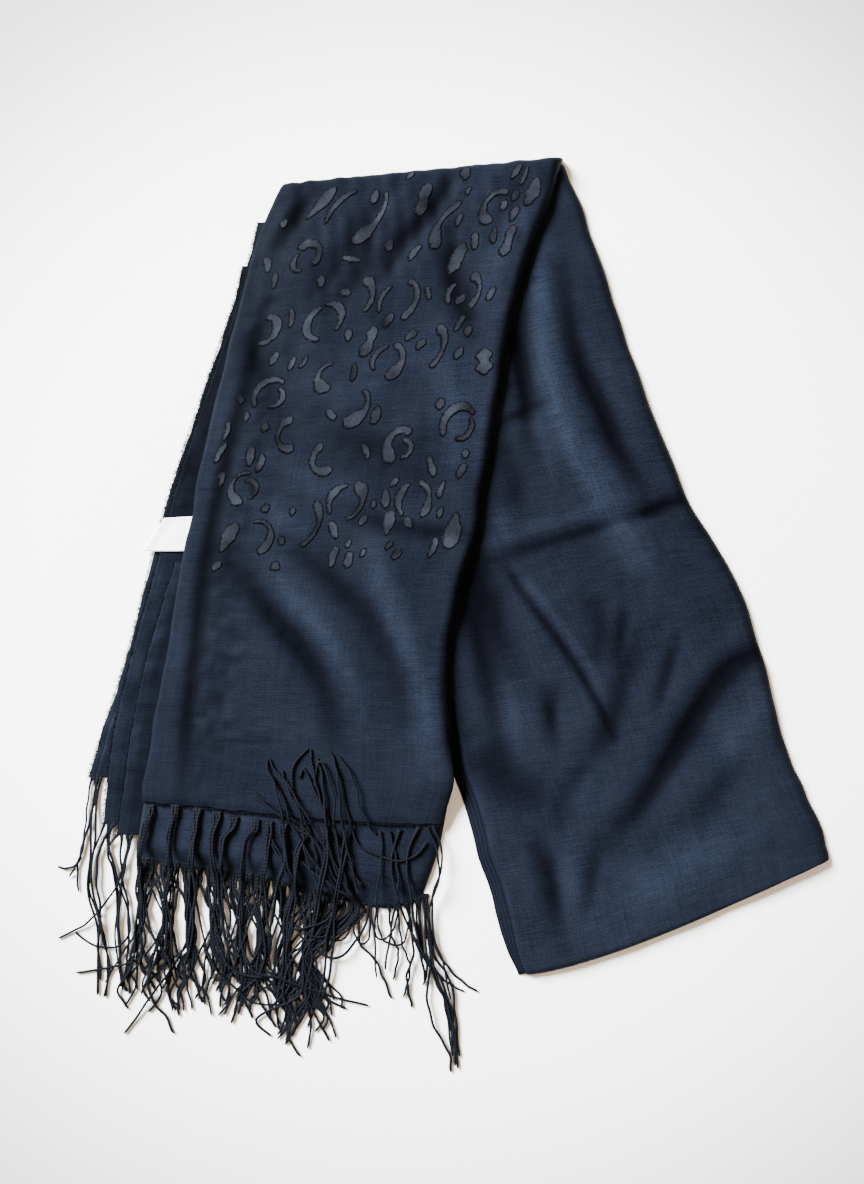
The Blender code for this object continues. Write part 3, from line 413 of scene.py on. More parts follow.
def creaseField(x, y, creases):
    # soft ridges and troughs along given lines, each side with its own width
    total = np.zeros(np.broadcast(x, y).shape)
    for height, leftWidth, rightWidth, line in creases:
        path = smoothLine(line, 6 * len(line))
        nearest = np.full(total.shape, 1e9)
        side = np.zeros(total.shape)
        along = np.zeros(total.shape)
        for i in range(len(path) - 1):
            run = path[i + 1] - path[i]
            t = np.clip(((x - path[i][0]) * run[0] + (y - path[i][1]) * run[1]) / (run @ run), 0.0, 1.0)
            awayX = x - path[i][0] - t * run[0]
            awayY = y - path[i][1] - t * run[1]
            away = np.hypot(awayX, awayY)
            closer = away < nearest
            nearest = np.where(closer, away, nearest)
            side = np.where(closer, awayX * run[1] - awayY * run[0], side)
            along = np.where(closer, (i + t) / (len(path) - 1), along)
        fade = np.sin(math.pi * np.clip(along, 0.04, 0.96)) ** 0.5
        total += height * fade * bell(nearest, np.where(side > 0, rightWidth, leftWidth))
    return total


def inFrame(x, y, z):
    x, y, z = np.broadcast_arrays(x, y, z)
    return np.stack([(x - middle["x"]) * mm, (y - middle["y"]) * mm, z * mm], axis=-1)


def gridFaces(rows, columns, first=0, flip=False):
    index = first + np.arange(rows * columns).reshape(rows, columns)
    corners = [index[:-1, :-1], index[1:, :-1], index[1:, 1:], index[:-1, 1:]]
    return np.stack(corners[::-1] if flip else corners, axis=-1).reshape(-1, 4)


def ringFaces(start, rings, size):
    # quads between rings of points that follow each other
    faces = []
    for first in range(start, start + (rings - 1) * size, size):
        for k in range(size):
            a, b = first + k, first + (k + 1) % size
            faces.append((a, b, b + size, a + size))
    return faces


def choose(piece):
    bpy.ops.object.select_all(action="DESELECT")
    piece.select_set(True)
    bpy.context.view_layer.objects.active = piece


def newPiece(name, points, faces, uv, material, smoothAngle=50.0):
    mesh = bpy.data.meshes.new(name)
    mesh.from_pydata(points.reshape(-1, 3).tolist(), [], [list(face) for face in faces])
    layer = mesh.uv_layers.new(name="cloth")
    corner = np.empty(len(mesh.loops), np.int32)
    mesh.loops.foreach_get("vertex_index", corner)
    layer.data.foreach_set("uv", np.asarray(uv, float).reshape(-1, 2)[corner].ravel())
    piece = bpy.data.objects.new(name, mesh)
    bpy.context.collection.objects.link(piece)
    mesh.materials.append(materials[material])
    choose(piece)
    bpy.ops.object.shade_smooth_by_angle(angle=math.radians(smoothAngle))
    return piece


def faceOut(piece):
    choose(piece)
    bpy.ops.object.mode_set(mode="EDIT")
    bpy.ops.mesh.select_all(action="SELECT")
    bpy.ops.mesh.normals_make_consistent(inside=False)
    bpy.ops.object.mode_set(mode="OBJECT")


def keepValues(piece, name, values):
    store = piece.data.attributes.new(name, "FLOAT", "POINT")
    count = len(piece.data.vertices)
    store.data.foreach_set("value", np.broadcast_to(values, (count,)).astype(np.float32))


def enter(piece, slot, *nodes):
    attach(piece, "root")
    if nodes:
        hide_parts(*nodes)
    return piece


def foldTone(raised):
    # painted shade below 1 in a trough, painted highlight above 1 on a ridge
    return np.clip(1.0 + 0.43 * raised, 0.25, 1.8)


def laySheet(name, place, cut, material, thick, fold=None):
    # one layer of cloth: place is its outer face, cut the same points on the flat cloth
    x, y, z = np.broadcast_arrays(*place)
    uv = np.stack(np.broadcast_arrays(*cut), axis=-1) * mm
    piece = newPiece(name, inFrame(x, y, z), gridFaces(*x.shape), uv, material)
    # painted shading per point: darker as painted shade, lighter as painted highlight
    if fold is not None:
        keepValues(piece, "fold", np.ravel(fold))
    wall = piece.modifiers.new("wall", "SOLIDIFY")
    wall.thickness = thick * mm
    wall.offset = -1.0
    choose(piece)
    bpy.ops.object.modifier_apply(modifier="wall")
    for point in piece.data.vertices:  # nothing reaches below the surface it lies on
        point.co.z = max(point.co.z, 0.0)
    return piece


def packLayers(name, node, x, y, top, base, cut):
    # hidden layers as one closed solid between two grids of the same size
    rows, columns = x.shape
    count = rows * columns
    index = np.arange(count).reshape(rows, columns)
    ring = np.concatenate([index[0, :], index[1:, -1], index[-1, -2::-1], index[-2:0:-1, 0]])
    after = np.roll(ring, -1)
    faces = np.concatenate([
        gridFaces(rows, columns), gridFaces(rows, columns, count, flip=True),
        np.stack([ring, after, after + count, ring + count], axis=-1),
    ])
    points = np.concatenate([inFrame(x, y, z).reshape(-1, 3) for z in (top, base)])
    uv = np.stack(np.broadcast_arrays(*cut), axis=-1).reshape(-1, 2) * mm
    piece = newPiece(name, points, faces, np.concatenate([uv, uv]), "plain")
    # the hidden layers carry an even painted shade
    keepValues(piece, "fold", 0.5)
    return enter(piece, "navy_cloth", node)


# where the two strands lie, and how high
layout = {
    "gap": 0.3, "crossingGap": 0.45, "rightHeight": 6.0, "leftHeight": 7.6, "hemHeight": 7.1,
    "width": 180.0, "edgeKeep": 20.0, "noseRadius": 9.0, "sideRadius": 7.0, "footRadius": 6.0,
    "climbStart": -48.0, "climbLength": 44.0, "climbFoot": -142.0, "climbFade": 30.0,
    "secondBed": 3.9, "secondWall": 1.1, "secondStart": 372.0, "hemDrop": 12.0,
    "topEnd": 407.0, "secondEnd": 435.0, "rightEnd": 462.0,
}
# each row of a strip is (down, left x, left y, right x, right y)
strips = {
    "top": {
        "bow": 2.0, "skew": 1.4, "wobble": 0.7,
        "rows": (
            (0, -93, 260, 84, 278), (37, -110, 222, 72, 240), (74, -120, 185, 57, 197),
            (111, -129, 146, 48, 159), (148, -138, 108, 42, 121), (185, -145, 67, 35, 78),
            (222, -152, 29, 28, 36), (259, -157, -6, 17, -3), (296, -162, -42, 11, -43),
            (333, -168, -78, 12, -83), (370, -172, -106, 13, -114), (407, -174, -127, 6, -141),
        ),
    },
    "second": {
        "bow": 9.5, "skew": 4.0, "wobble": 0.0,
        "rows": (
            (372, -172, -108, 12, -116), (393, -173, -124, 9, -132), (414, -175, -142, 4, -156),
            (435, -178, -161, -6, -184),
        ),
    },
    "right": {
        "bow": 7.0, "skew": 0.7, "wobble": 0.9,
        "rows": (
            (0, -88, 256.5, 85, 274), (42, -73, 208, 99, 236), (84, -59, 162, 111, 198),
            (126, -46, 117, 125, 152), (168, -32, 70, 142, 103), (210, -18, 22, 164, 48),
            (252, -4, -26, 187, 8), (294, 12, -71, 203, -42), (336, 22, -111, 213, -88),
            (378, 34, -150, 225, -120), (420, 45, -188, 235, -144), (462, 56, -229, 239, -162),
        ),
    },
}
# a crease is (height, width to the left of its line, to its right, points along it)
rightCloth = {
    "footTurns": 7, "turns": 8,
    "rowStep": 1.5, "columnStep": 1.45, "thick": 0.8, "uneven": 0.12, "soft": 0.6, "depth": 1.9,
    "creases": (
        (1.5, 10, 9, ((70, 214), (74, 152), (87, 100), (101, 72), (116, 44))),
        (-1.2, 7, 8, ((82, 205), (91, 150), (108, 112), (117, 88), (132, 62))),
        (0.3, 7, 9, ((108, 150), (117, 118), (137, 78))),
        (0.8, 12, 12, ((104, 78), (114, 50), (126, 28), (138, 8))),
        (-0.6, 6, 7, ((60, 196), (58, 150), (62, 100), (72, 66))),
        (-1.1, 11, 12, ((30, 14), (36, -10), (41, -34), (48, -60))),
        (-0.7, 14, 14, ((28, -92), (44, -116), (72, -130))), (-0.8, 5, 6, ((128, 47), (140, 52), (160, 58))),
        (-0.7, 2.2, 5, ((34, 17), (60, 26), (92, 36), (128, 47), (152, 56))),
        (0.5, 6, 3, ((36, 27), (60, 35), (92, 45), (124, 56))), (-0.5, 3, 4, ((40, 104), (56, 111), (74, 119))),
        (0.6, 9, 9, ((40, 36), (52, 44))),
        (-0.85, 2.3, 3.2, ((47, 14), (60, -6), (84, -39), (100, -66), (112, -90))),
        (0.45, 3.5, 3, ((55, 12), (70, -8), (92, -38), (108, -66))),
        (-1.25, 8, 8, ((206, -34), (196, -39), (177, -52), (153, -88), (131, -122), (108, -150))),
        (-0.75, 8, 8, ((124, -30), (118, -52), (106, -88), (88, -120), (78, -140))),
        (0.5, 9, 10, ((206, -62), (192, -82), (172, -112))), (-0.6, 4, 5, ((120, -10), (112, -42))),
        (-0.7, 4, 5, ((150, -30), (138, -69))), (-0.45, 4, 5, ((77, -54), (72, -84))),
        (-0.5, 4, 6, ((100, -154), (93, -192))), (-0.4, 3.5, 4.5, ((70, -158), (77, -194))),
        (0.4, 6, 7, ((84, -150), (85, -190))), (-0.6, 7, 7, ((96, -2), (104, -24), (98, -48))),
        (-0.3, 8, 7, ((158, 52), (170, 36), (186, 12))), (-0.5, 7, 5, ((150, 92), (166, 62), (186, 30))),
        (-0.45, 8, 8, ((186, -102), (173, -120), (158, -142))),
        (0.6, 15, 14, ((112, -190), (148, -168), (186, -150))), (-0.5, 6, 8, ((66, 246), (60, 222), (50, 190))),
        (-0.6, 7, 6, ((20, -4), (27, -28), (36, -67), (44, -106))),
        (0.5, 7, 8, ((36, -20), (46, -54), (56, -92))), (-0.6, 6, 7, ((62, -148), (68, -168), (77, -212))),
        (-0.5, 5, 5, ((68, -60), (73, -80), (76, -98))), (0.6, 7, 7, ((104, -98), (94, -116), (82, -134))),
        (-0.6, 7, 8, ((44, 96), (52, 70), (54, 48))), (0.5, 8, 8, ((66, 112), (72, 82), (76, 58))),
        (-0.7, 8, 7, ((48, 168), (56, 140), (62, 112))),
    ),
}


def traceStrips():
    for strip in strips.values():
        rows = np.array(strip["rows"], float)
        count = 30 * (len(rows) - 1) + 1
        strip["line"] = smoothLine(rows[:, 1:], count)
        strip["down"] = np.linspace(rows[0, 0], rows[-1, 0], count)
        ends = smooth((strip["down"] - rows[0, 0]) / 15) * smooth((rows[-1, 0] - strip["down"]) / 15)
        for column, seed in ((0, 5), (2, 9)):
            sway = ripples(strip["down"], np.zeros(count), seed, 42.0)
            strip["line"][:, column] += strip["wobble"] * sway * ends


def onStrip(name, down, across):
    # plan point of a strip; across runs over its width and keeps real millimetres near each side
    strip = strips[name]
    down, across = np.broadcast_arrays(np.asarray(down, float), np.asarray(across, float))
    leftX, leftY, rightX, rightY = (np.interp(down, strip["down"], column) for column in strip["line"].T)
    width = np.hypot(rightX - leftX, rightY - leftY)
    keep, full = layout["edgeKeep"], layout["width"]
    inner = keep + (across - keep) / (full - 2 * keep) * (width - 2 * keep)
    offset = np.where(across <= keep, across, np.where(across >= full - keep, width - (full - across), inner))
    share = offset / width
    start, end = strip["down"][[0, -1]]
    reach = np.clip((down - start) / (end - start), 0.0, 1.0)
    arch = np.sin(math.pi * np.clip(share, 0.0, 1.0) ** strip["skew"])
    x = leftX + (rightX - leftX) * share
    y = leftY + (rightY - leftY) * share - strip["bow"] * arch * reach ** 8
    return x, y


def acrossSteps(start, cloth):
    # columns over a strand's width, close together where it rounds down at the right
    steps = (layout["sideRadius"], cloth["columnStep"], cloth["turns"])
    return np.array(rolledSteps(start, layout["width"], *steps))


def sideRounded(across):
    return rounded(layout["width"] - across, layout["sideRadius"])


def sideX(y, sideLine):
    # x of a strand's side at this y
    sideLine = sideLine[np.argsort(sideLine[:, 1])]
    return np.interp(y, sideLine[:, 1], sideLine[:, 0])


def pastHem(strip, x, y):
    # how far inside a strip's hem a plan point lies; below 0 past it
    hem = onStrip(strip, layout[strip + "End"], np.linspace(0.0, layout["width"], 61))
    return y - np.interp(x, *hem)


def rightFolds(x, y):
    return rightCloth["depth"] * creaseField(x, y, rightCloth["creases"])


def rightTop(x, y):
    uneven = rightCloth["uneven"] * ripples(x, y, 31, 17.0) + rightCloth["soft"] * ripples(x, y, 37, 62.0)
    return layout["rightHeight"] + rightFolds(x, y) + uneven


def hiddenSideX(y):
    # the right strand's left side where the left strand covers it
    topX, topY, footX, footY = -88.0, 256.5, 56.0, -229.0
    return topX + (y - topY) / (footY - topY) * (footX - topX)


def leftBase(x, y):
    # what the left strand lies on: the surface, or the right strand
    climb = smooth((x - hiddenSideX(y) - layout["climbStart"]) / layout["climbLength"])
    climb = climb * smooth((y - layout["climbFoot"]) / layout["climbFade"])
    return climb * (np.maximum(rightTop(x, y), layout["rightHeight"]) + layout["crossingGap"])


traceStrips()

# the top panel of the left strand; each turn-under column is (across, share of the turn)
leftCloth = {
    "start": 3.6, "under": 6, "noseTurns": 9, "turns": 8,
    "rowStep": 1.7, "columnStep": 1.7, "thick": 0.8, "uneven": 0.12, "soft": 0.4, "depth": 1.65,
    "lipDepth": 2.6, "lipDepthAtHem": 1.5, "sideDrop": 1.1, "sideSpread": 9.0,
    "lip": (
        (7.0, 1.0), (4.5, 1.0), (2.6, 0.99), (1.5, 0.94), (0.7, 0.84), (0.2, 0.68), (0.0, 0.5), (0.15, 0.33),
        (0.6, 0.18), (1.3, 0.07), (2.3, 0.01),
    ),
    "creases": (
        (
            -0.9, 6, 5,
            ((-104, 178), (-116, 120), (-130, 60), (-138, 19), (-142, -18), (-146, -66), (-150, -124)),
        ),
        (-0.6, 7, 9, ((-116, 165), (-108, 146), (-100, 118))),
        (-1.2, 8, 8, ((-128, 22), (-111, 3), (-97, -16), (-78, -38), (-64, -62), (-57, -92))),
        (-0.95, 7, 7, ((-86, 30), (-70, 14), (-54, 0), (-36, -20), (-22, -48), (-14, -80))),
        (1, 8, 8, ((-94, 12), (-86, -2), (-70, -20), (-54, -42), (-43, -64), (-37, -88))),
        (1.9, 9, 11, ((-34, 20), (-27, 0), (-14, -30), (-3, -62), (0, -98))),
        (0.1, 9, 9, ((-108, -30), (-96, -58), (-92, -90))),
        (-1.3, 5, 7, ((14, 262), (4, 243), (-17, 218), (-30, 196))),
        (-0.8, 6, 8, ((-34, 244), (-39, 226), (-44, 198), (-60, 176))),
        (-0.2, 8, 8, ((-6, 252), (-24, 226), (-36, 206))), (-1.5, 8, 9, ((12, 222), (16, 194), (26, 162))),
        (-1, 6, 7, ((-78, 250), (-84, 234), (-96, 214))), (0.25, 6, 8, ((-62, 246), (-70, 222), (-86, 198))),
        (-0.8, 5, 6, ((-46, 226), (-56, 205), (-72, 186))), (0.5, 8, 9, ((54, 240), (46, 210), (40, 186))),
        (-0.6, 6, 8, ((58, 262), (50, 244), (36, 226))),
        (0.6, 13, 13, ((-72, 146), (-40, 138), (-4, 146), (18, 124), (34, 92))),
        (0.5, 10, 9, ((-84, 128), (-56, 118), (-28, 122))), (-0.55, 15, 15, ((-52, 86), (-12, 72), (20, 64))),
        (0.6, 10, 10, ((-104, 52), (-84, 38), (-62, 33))), (-0.5, 7, 9, ((-60, 96), (-30, 88), (2, 92))),
        (0.6, 10, 9, ((-92, 84), (-70, 64), (-40, 58))),
        (-0.9, 5, 7, ((-44, 44), (-20, 38), (6, 34), (26, 32))), (0.5, 7, 8, ((10, 130), (16, 98), (14, 60))),
        (-0.28, 1.2, 1.6, ((-132, -91), (-110, -92), (-90, -92))),
    ),
}


def nearHem(down):
    return smooth((down - layout["secondStart"] + 32.0) / 25.0)


def leftFolds(x, y, down):
    # the creases, and small crumples over the hidden selvedge inside the left side
    crumpled = bell(x - np.interp(-y, [-180, -20, 120], [-94, -122, -134]), 13.0)
    crumpled = crumpled * smooth((down - 40) / 40) * (1 - smooth((down - 330) / 50))
    folds = leftCloth["depth"] * creaseField(x, y, leftCloth["creases"])
    return folds + 0.26 * crumpled * ripples(x, y, 71, 12.0)


def leftHeight(x, y, across, down):
    atHem = nearHem(down)
    sink = leftCloth["sideDrop"] * bell(across, leftCloth["sideSpread"])
    full = layout["leftHeight"] - sink * (1 - atHem) - (layout["leftHeight"] - layout["hemHeight"]) * atHem
    folds = leftFolds(x, y, down)
    folds = folds + leftCloth["uneven"] * ripples(x, y, 41, 15.0) + leftCloth["soft"] * ripples(x, y, 43, 58.0)
    atTop = (1 - smooth((down - 45) / 60)) * smooth(down / 12)
    folds = folds + 0.26 * ripples(x, 0.6 * y, 47, 10.0) * atTop
    return full + folds * (1 - 0.75 * atHem) - 0.7 * smooth((down - layout["topEnd"] + 10.0) / 10.0)


def leftPoint(down, across, lip=0.0, raised=0.0):
    # the left strand's outer face: lip is how far it has turned under at its left side
    down, across, lip = np.broadcast_arrays(*(np.asarray(v, float) for v in (down, across, lip)))
    x, y = onStrip("top", down, across)
    atHem = nearHem(down)
    depth = leftCloth["lipDepth"] + (leftCloth["lipDepthAtHem"] - leftCloth["lipDepth"]) * atHem
    lift = (layout["secondBed"] + layout["secondWall"] + 0.4) * atHem
    over = leftHeight(x, y, across, down) - lift - (lip * depth - raised)
    over = over * sideRounded(across)
    z = rounded(down, layout["noseRadius"]) * (leftBase(x, y) + lift + over)
    # the top fold isn't quite straight
    y = y + 0.55 * ripples(x, 0.0 * x, 67, 12.0) * (1 - smooth(down / 18.0))
    return x, y, z


def topPanelShade(x, y, across, down):
    # painted shade and highlight from the creases, and painted shade along the rounded right side
    raised = leftFolds(x, y, down) - 0.7 * bell(layout["width"] - across, 6.0)
    shade = foldTone(raised)
    # painted shade where it climbs onto the right strand, a painted highlight right of the crossing, painted
    # shade up at the top fold and over the upper left
    shade = shade * (1.0 - 0.30 * bell(x - hiddenSideX(y) + 27.0, 26.0) * smooth((y + 110.0) / 60.0))
    shade = shade * (1.0 + 0.34 * bell(x - 42.0, 34.0) * smooth((y - 40.0) / 50.0))
    shade = shade * (0.84 + 0.16 * smooth((160.0 - y) / 120.0))
    shade = shade * (1.0 - 0.10 * smooth((-20.0 - x) / 70.0) * smooth((y - 20.0) / 70.0))
    # painted shade along the long valley inside the left side, patchy on its inner half, and along the left
    # edge
    patchy = np.clip(0.5 + 0.6 * ripples(x, y, 83, 13.0), 0.0, 1.3)
    inside = across - (16.0 + 0.035 * np.maximum(down - 200.0, 0.0))
    valley = np.clip(bell(inside, 4.5) + 0.9 * patchy * bell(inside - 13.0, 13.0), 0.0, 1.0)
    valley = valley * (1 - 0.6 * smooth((down - 330.0) / 60.0))
    shade = shade * (1.0 - (0.34 + 0.16 * smooth((down - 200.0) / 40.0)) * valley)
    return shade * (1.0 - 0.15 * bell(across, 14.0))


def buildTopPanel():
    rows = turnSteps(layout["noseRadius"], leftCloth["noseTurns"])
    rows += evenSteps(layout["noseRadius"], layout["topEnd"], leftCloth["rowStep"])
    columns = list(leftCloth["lip"]) + [(across, 0.0) for across in acrossSteps(leftCloth["start"], leftCloth)]
    down = inRows(rows)
    across, share = np.array(columns).T[:, None, :]
    x, y, z = leftPoint(down, across, share)
    y = y + 0.45 * ripples(x, 0.0 * x, 19, 11.0) * smooth((down - layout["topEnd"] + 13.0) / 12.0)
    unrolled = np.where(np.arange(len(columns)) < leftCloth["under"], -across, across)
    shade = topPanelShade(x, y, across, down)
    panel = laySheet("patternedTopPanel", (x, y, z), (unrolled, down), "cloth", leftCloth["thick"], shade)
    return enter(panel, "navy_cloth", "patterned_top_panel")


topPanel = buildTopPanel()
print("top panel:", len(topPanel.data.polygons), "faces")

# raised marks on it; the two large kinds are thrown as part.py throws them
marks = {
    "seed": 41, "smallSeed": 77, "raise": 0.42, "tip": 0.32,
    "clear": 0.75, "clearDressed": 0.7, "clearSmall": 1.3,
    "closerDown": 0.78, "apartAcross": 1.05, "left": 14.5, "right": 171.0, "top": 11.0,
    "dressedAcross": (6, 174), "dressedDown": (4.5, 252), "partnerShare": 0.9,
    "kinds": (
        {
            "count": 24, "tries": 900, "room": 13.5, "down": (17.75, 225.25), "across": (17.875, 167.625),
            "tilt": 0.32, "turn": (90, 200), "length": (21, 31), "width": (3.2, 5.0),
            "shape": ((0.55, 1.25),) * 6,
        },
        {
            "count": 30, "tries": 900, "room": 9.5, "down": (15.75, 227.25), "across": (16.875, 168.625),
            "tilt": 0.32, "turn": (0, 35), "length": (10, 16), "width": (5.5, 8.0),
            "shape": ((0.55, 1.25),) * 4,
        },
    ),
    "small": {
        "count": 70, "tries": 5000, "room": 5.2, "down": (7.0, 240.0), "across": (10.0, 172.0),
        "tilt": 0.45, "turn": (0, 60), "length": (2.6, 11.0), "width": (2.8, 5.6),
        "shape": ((0.6, 0.9), (0.9, 1.2), (0.9, 1.2), (0.5, 0.9)),
    },
    # widths along a mark, as shares of its own
    "curved": (
        (1.0, 1.3, 1.2, 0.9, 0.75, 0.7, 0.75, 0.8, 0.7), (1.2, 1.7, 1.6, 1.1, 0.8, 0.65, 0.6, 0.5, 0.45),
        (0.5, 0.7, 0.9, 1.1, 1.2, 1.15, 1.0, 0.8, 0.6), (1.1, 1.3, 0.9, 0.7, 0.65, 0.7, 0.95, 1.4, 1.2),
    ),
    "blunt": (
        (0.35, 0.6, 0.9, 1.15, 1.25, 1.1, 0.8), (0.7, 1.0, 1.15, 1.2, 1.15, 1.0, 0.7),
        (0.8, 1.1, 1.0, 0.75, 0.9, 1.15, 0.8),
    ),
    "partner": (0.5, 0.9, 1.2, 1.1, 0.8, 0.5),
}


def markOutline(mark, grow):
    count = len(mark["shape"])
    step = mark["length"] / (count - 1)
    spine = []
    across = down = 0.0
    for i in range(count):
        heading = mark["tilt"] + mark["turn"] * (i / (count - 1) - 0.5)
        spine.append((across, down, heading))
        across += step * math.sin(heading)
        down += step * math.cos(heading)
    moveA = mark["across"] - sum(p[0] for p in spine) / count
    moveD = mark["down"] - sum(p[1] for p in spine) / count
    left, right = [], []
    for (a, d, heading), share in zip(spine, mark["shape"]):
        half = 0.5 * mark["width"] * share + grow
        outA, outD = half * math.cos(heading), half * math.sin(heading)
        left.append((a + moveA - outA, d + moveD + outD))
        right.append((a + moveA + outA, d + moveD - outD))
    tips = []
    for end, sign in ((0, -1), (-1, 1)):
        a, d, heading = spine[end]
        reach = sign * (marks["tip"] * mark["width"] * mark["shape"][end] + grow)
        tips.append((a + moveA + reach * math.sin(heading), d + moveD + reach * math.cos(heading)))
    return [tips[0]] + left + [tips[1]] + right[::-1]


def isCurved(mark):
    return mark["room"] > 12


def dressMark(draw, mark):
    # the mark as it was printed: the same place and lean as on the solid, with bulbs and tails
    shape = list(draw.choice(marks["curved" if isCurved(mark) else "blunt"]))
    if draw.random() < 0.5:
        shape.reverse()
    shape = [share * draw.uniform(0.86, 1.14) for share in shape]
    if isCurved(mark):
        return dict(mark, shape=shape, width=mark["width"] * draw.uniform(0.95, 1.25))
    width = mark["width"] * draw.uniform(1.0, 1.35)
    return dict(mark, shape=shape, width=width, length=mark["length"] * draw.uniform(0.95, 1.25))


def partnerOf(draw, mark):
    # the thinner arc that faces a curved mark across its ring
    half = abs(mark["turn"]) / 2
    away = 2 * mark["length"] / abs(mark["turn"]) * math.sin(half) / half * draw.uniform(0.85, 1.0)
    side = 1 if mark["turn"] > 0 else -1
    shape = [share * draw.uniform(0.85, 1.15) for share in marks["partner"]]
    return dict(
        mark, across=mark["across"] + side * away * math.cos(mark["tilt"]),
        down=mark["down"] - side * away * math.sin(mark["tilt"]) + draw.uniform(-2, 2),
        turn=-mark["turn"] * draw.uniform(0.65, 1.0), length=mark["length"] * draw.uniform(0.55, 0.95),
        width=draw.uniform(3.0, 4.4), shape=shape,
    )


def closed(outline):
    return zip(outline, outline[1:] + outline[:1])


def isInside(point, outline):
    inside = False
    for a, b in closed(outline):
        if (a[1] > point[1]) != (b[1] > point[1]):
            if point[0] < (b[0] - a[0]) * (point[1] - a[1]) / (b[1] - a[1]) + a[0]:
                inside = not inside
    return inside


def linesCross(first, second):
    def side(a, b, c):
        return (b[0] - a[0]) * (c[1] - a[1]) - (b[1] - a[1]) * (c[0] - a[0])

    for a, b in closed(first):
        for c, d in closed(second):
            if a in (c, d) or b in (c, d):
                continue
            if side(a, b, c) * side(a, b, d) < 0 and side(c, d, a) * side(c, d, b) < 0:
                return True
    return False


def standsClear(mark, placed, clear=marks["clearSmall"]):
    outline = markOutline(mark, clear)
    for other in placed:
        reach = 0.6 * (mark["length"] + other["length"]) + mark["width"] + other["width"]
        if math.hypot(mark["down"] - other["down"], mark["across"] - other["across"]) > reach:
            continue
        theirs = markOutline(other, clear)
        if linesCross(outline, theirs) or isInside(outline[0], theirs) or isInside(theirs[0], outline):
            return False
    if linesCross(outline, outline):
        return False
    limits = (marks["dressedAcross"], marks["dressedDown"])
    return all(low < min(way) and max(way) < high for way, (low, high) in zip(zip(*outline), limits))


def markFits(mark, placed):
    for other in placed:
        apartDown = (mark["down"] - other["down"]) * marks["closerDown"]
        apartAcross = (mark["across"] - other["across"]) * marks["apartAcross"]
        if math.hypot(apartDown, apartAcross) < mark["room"] + other["room"]:
            return False
    outline = markOutline(mark, marks["clear"])
    acrosses, downs = zip(*outline)
    if min(acrosses) < marks["left"] or max(acrosses) > marks["right"] or min(downs) < marks["top"]:
        return False
    if linesCross(outline, outline):
        return False
    return not any(linesCross(outline, markOutline(other, marks["clear"])) for other in placed)


def throwKind(draw, kind, placed, fits):
    made = tries = 0
    while made < kind["count"] and tries < kind["tries"]:
        tries += 1
        mark = {
            "room": kind["room"], "down": draw.uniform(*kind["down"]), "across": draw.uniform(*kind["across"]),
            "tilt": draw.gauss(0, kind["tilt"]),
            "turn": math.radians(draw.uniform(*kind["turn"])) * draw.choice((-1, 1)),
            "length": draw.uniform(*kind["length"]), "width": draw.uniform(*kind["width"]),
            "shape": [draw.uniform(*share) for share in kind["shape"]],
        }
        if fits(mark, placed):
            placed.append(mark)
            made += 1


def tryToPlace(make, draw, mark, placed, tries):
    for _ in range(tries):
        made = make(draw, mark)
        if standsClear(made, placed, marks["clearDressed"]):
            placed.append(made)
            break


def arrangeMarks():
    draw = random.Random(marks["seed"])
    thrown = []
    for kind in marks["kinds"]:
        throwKind(draw, kind, thrown, markFits)
    draw = random.Random(marks["smallSeed"])
    placed = []
    for mark in thrown:
        tryToPlace(dressMark, draw, mark, placed, 6)
    for mark in list(placed):
        if isCurved(mark) and draw.random() < marks["partnerShare"]:
            tryToPlace(partnerOf, draw, mark, placed, 9)
    throwKind(draw, marks["small"], placed, standsClear)
    return placed


def closedCurve(outline, count):
    # evenly spaced points on a smooth closed curve through an outline
    table = np.array(outline, float)
    size = len(table)
    place = np.linspace(0, size, count * 4, endpoint=False)
    i = place.astype(int)
    before, a, b, after = (table[(i + k) % size] for k in (-1, 0, 1, 2))
    fine = spline(before, a, b, after, (place - i)[:, None])
    ring = np.vstack([fine, fine[:1]])
    return pointsAt(ring, np.linspace(0, runOf(ring)[-1], count, endpoint=False))


def inwardOf(curve):
    # unit normals towards the inside of a closed curve
    ahead = np.roll(curve, -1, axis=0) - np.roll(curve, 1, axis=0)
    ahead /= np.maximum(np.hypot(*ahead.T), 1e-9)[:, None]
    x, y = curve.T
    area = np.sum(x * np.roll(y, -1) - y * np.roll(x, -1))
    return np.stack([-ahead[:, 1], ahead[:, 0]], axis=-1) * (1 if area > 0 else -1)


def printedOutline(number, mark):
    # the mark's outline with the small unevenness of brushed pile
    outline = closedCurve(markOutline(mark, 0.0), 76 if mark["room"] > 6 else 32)
    x, y = outline.T
    wander = ripples(x, y, 300 + number, 3.0, 8) + 0.5 * ripples(x, y, 700 + number, 1.5, 8)
    return outline + inwardOf(outline) * 0.26 * wander[:, None]


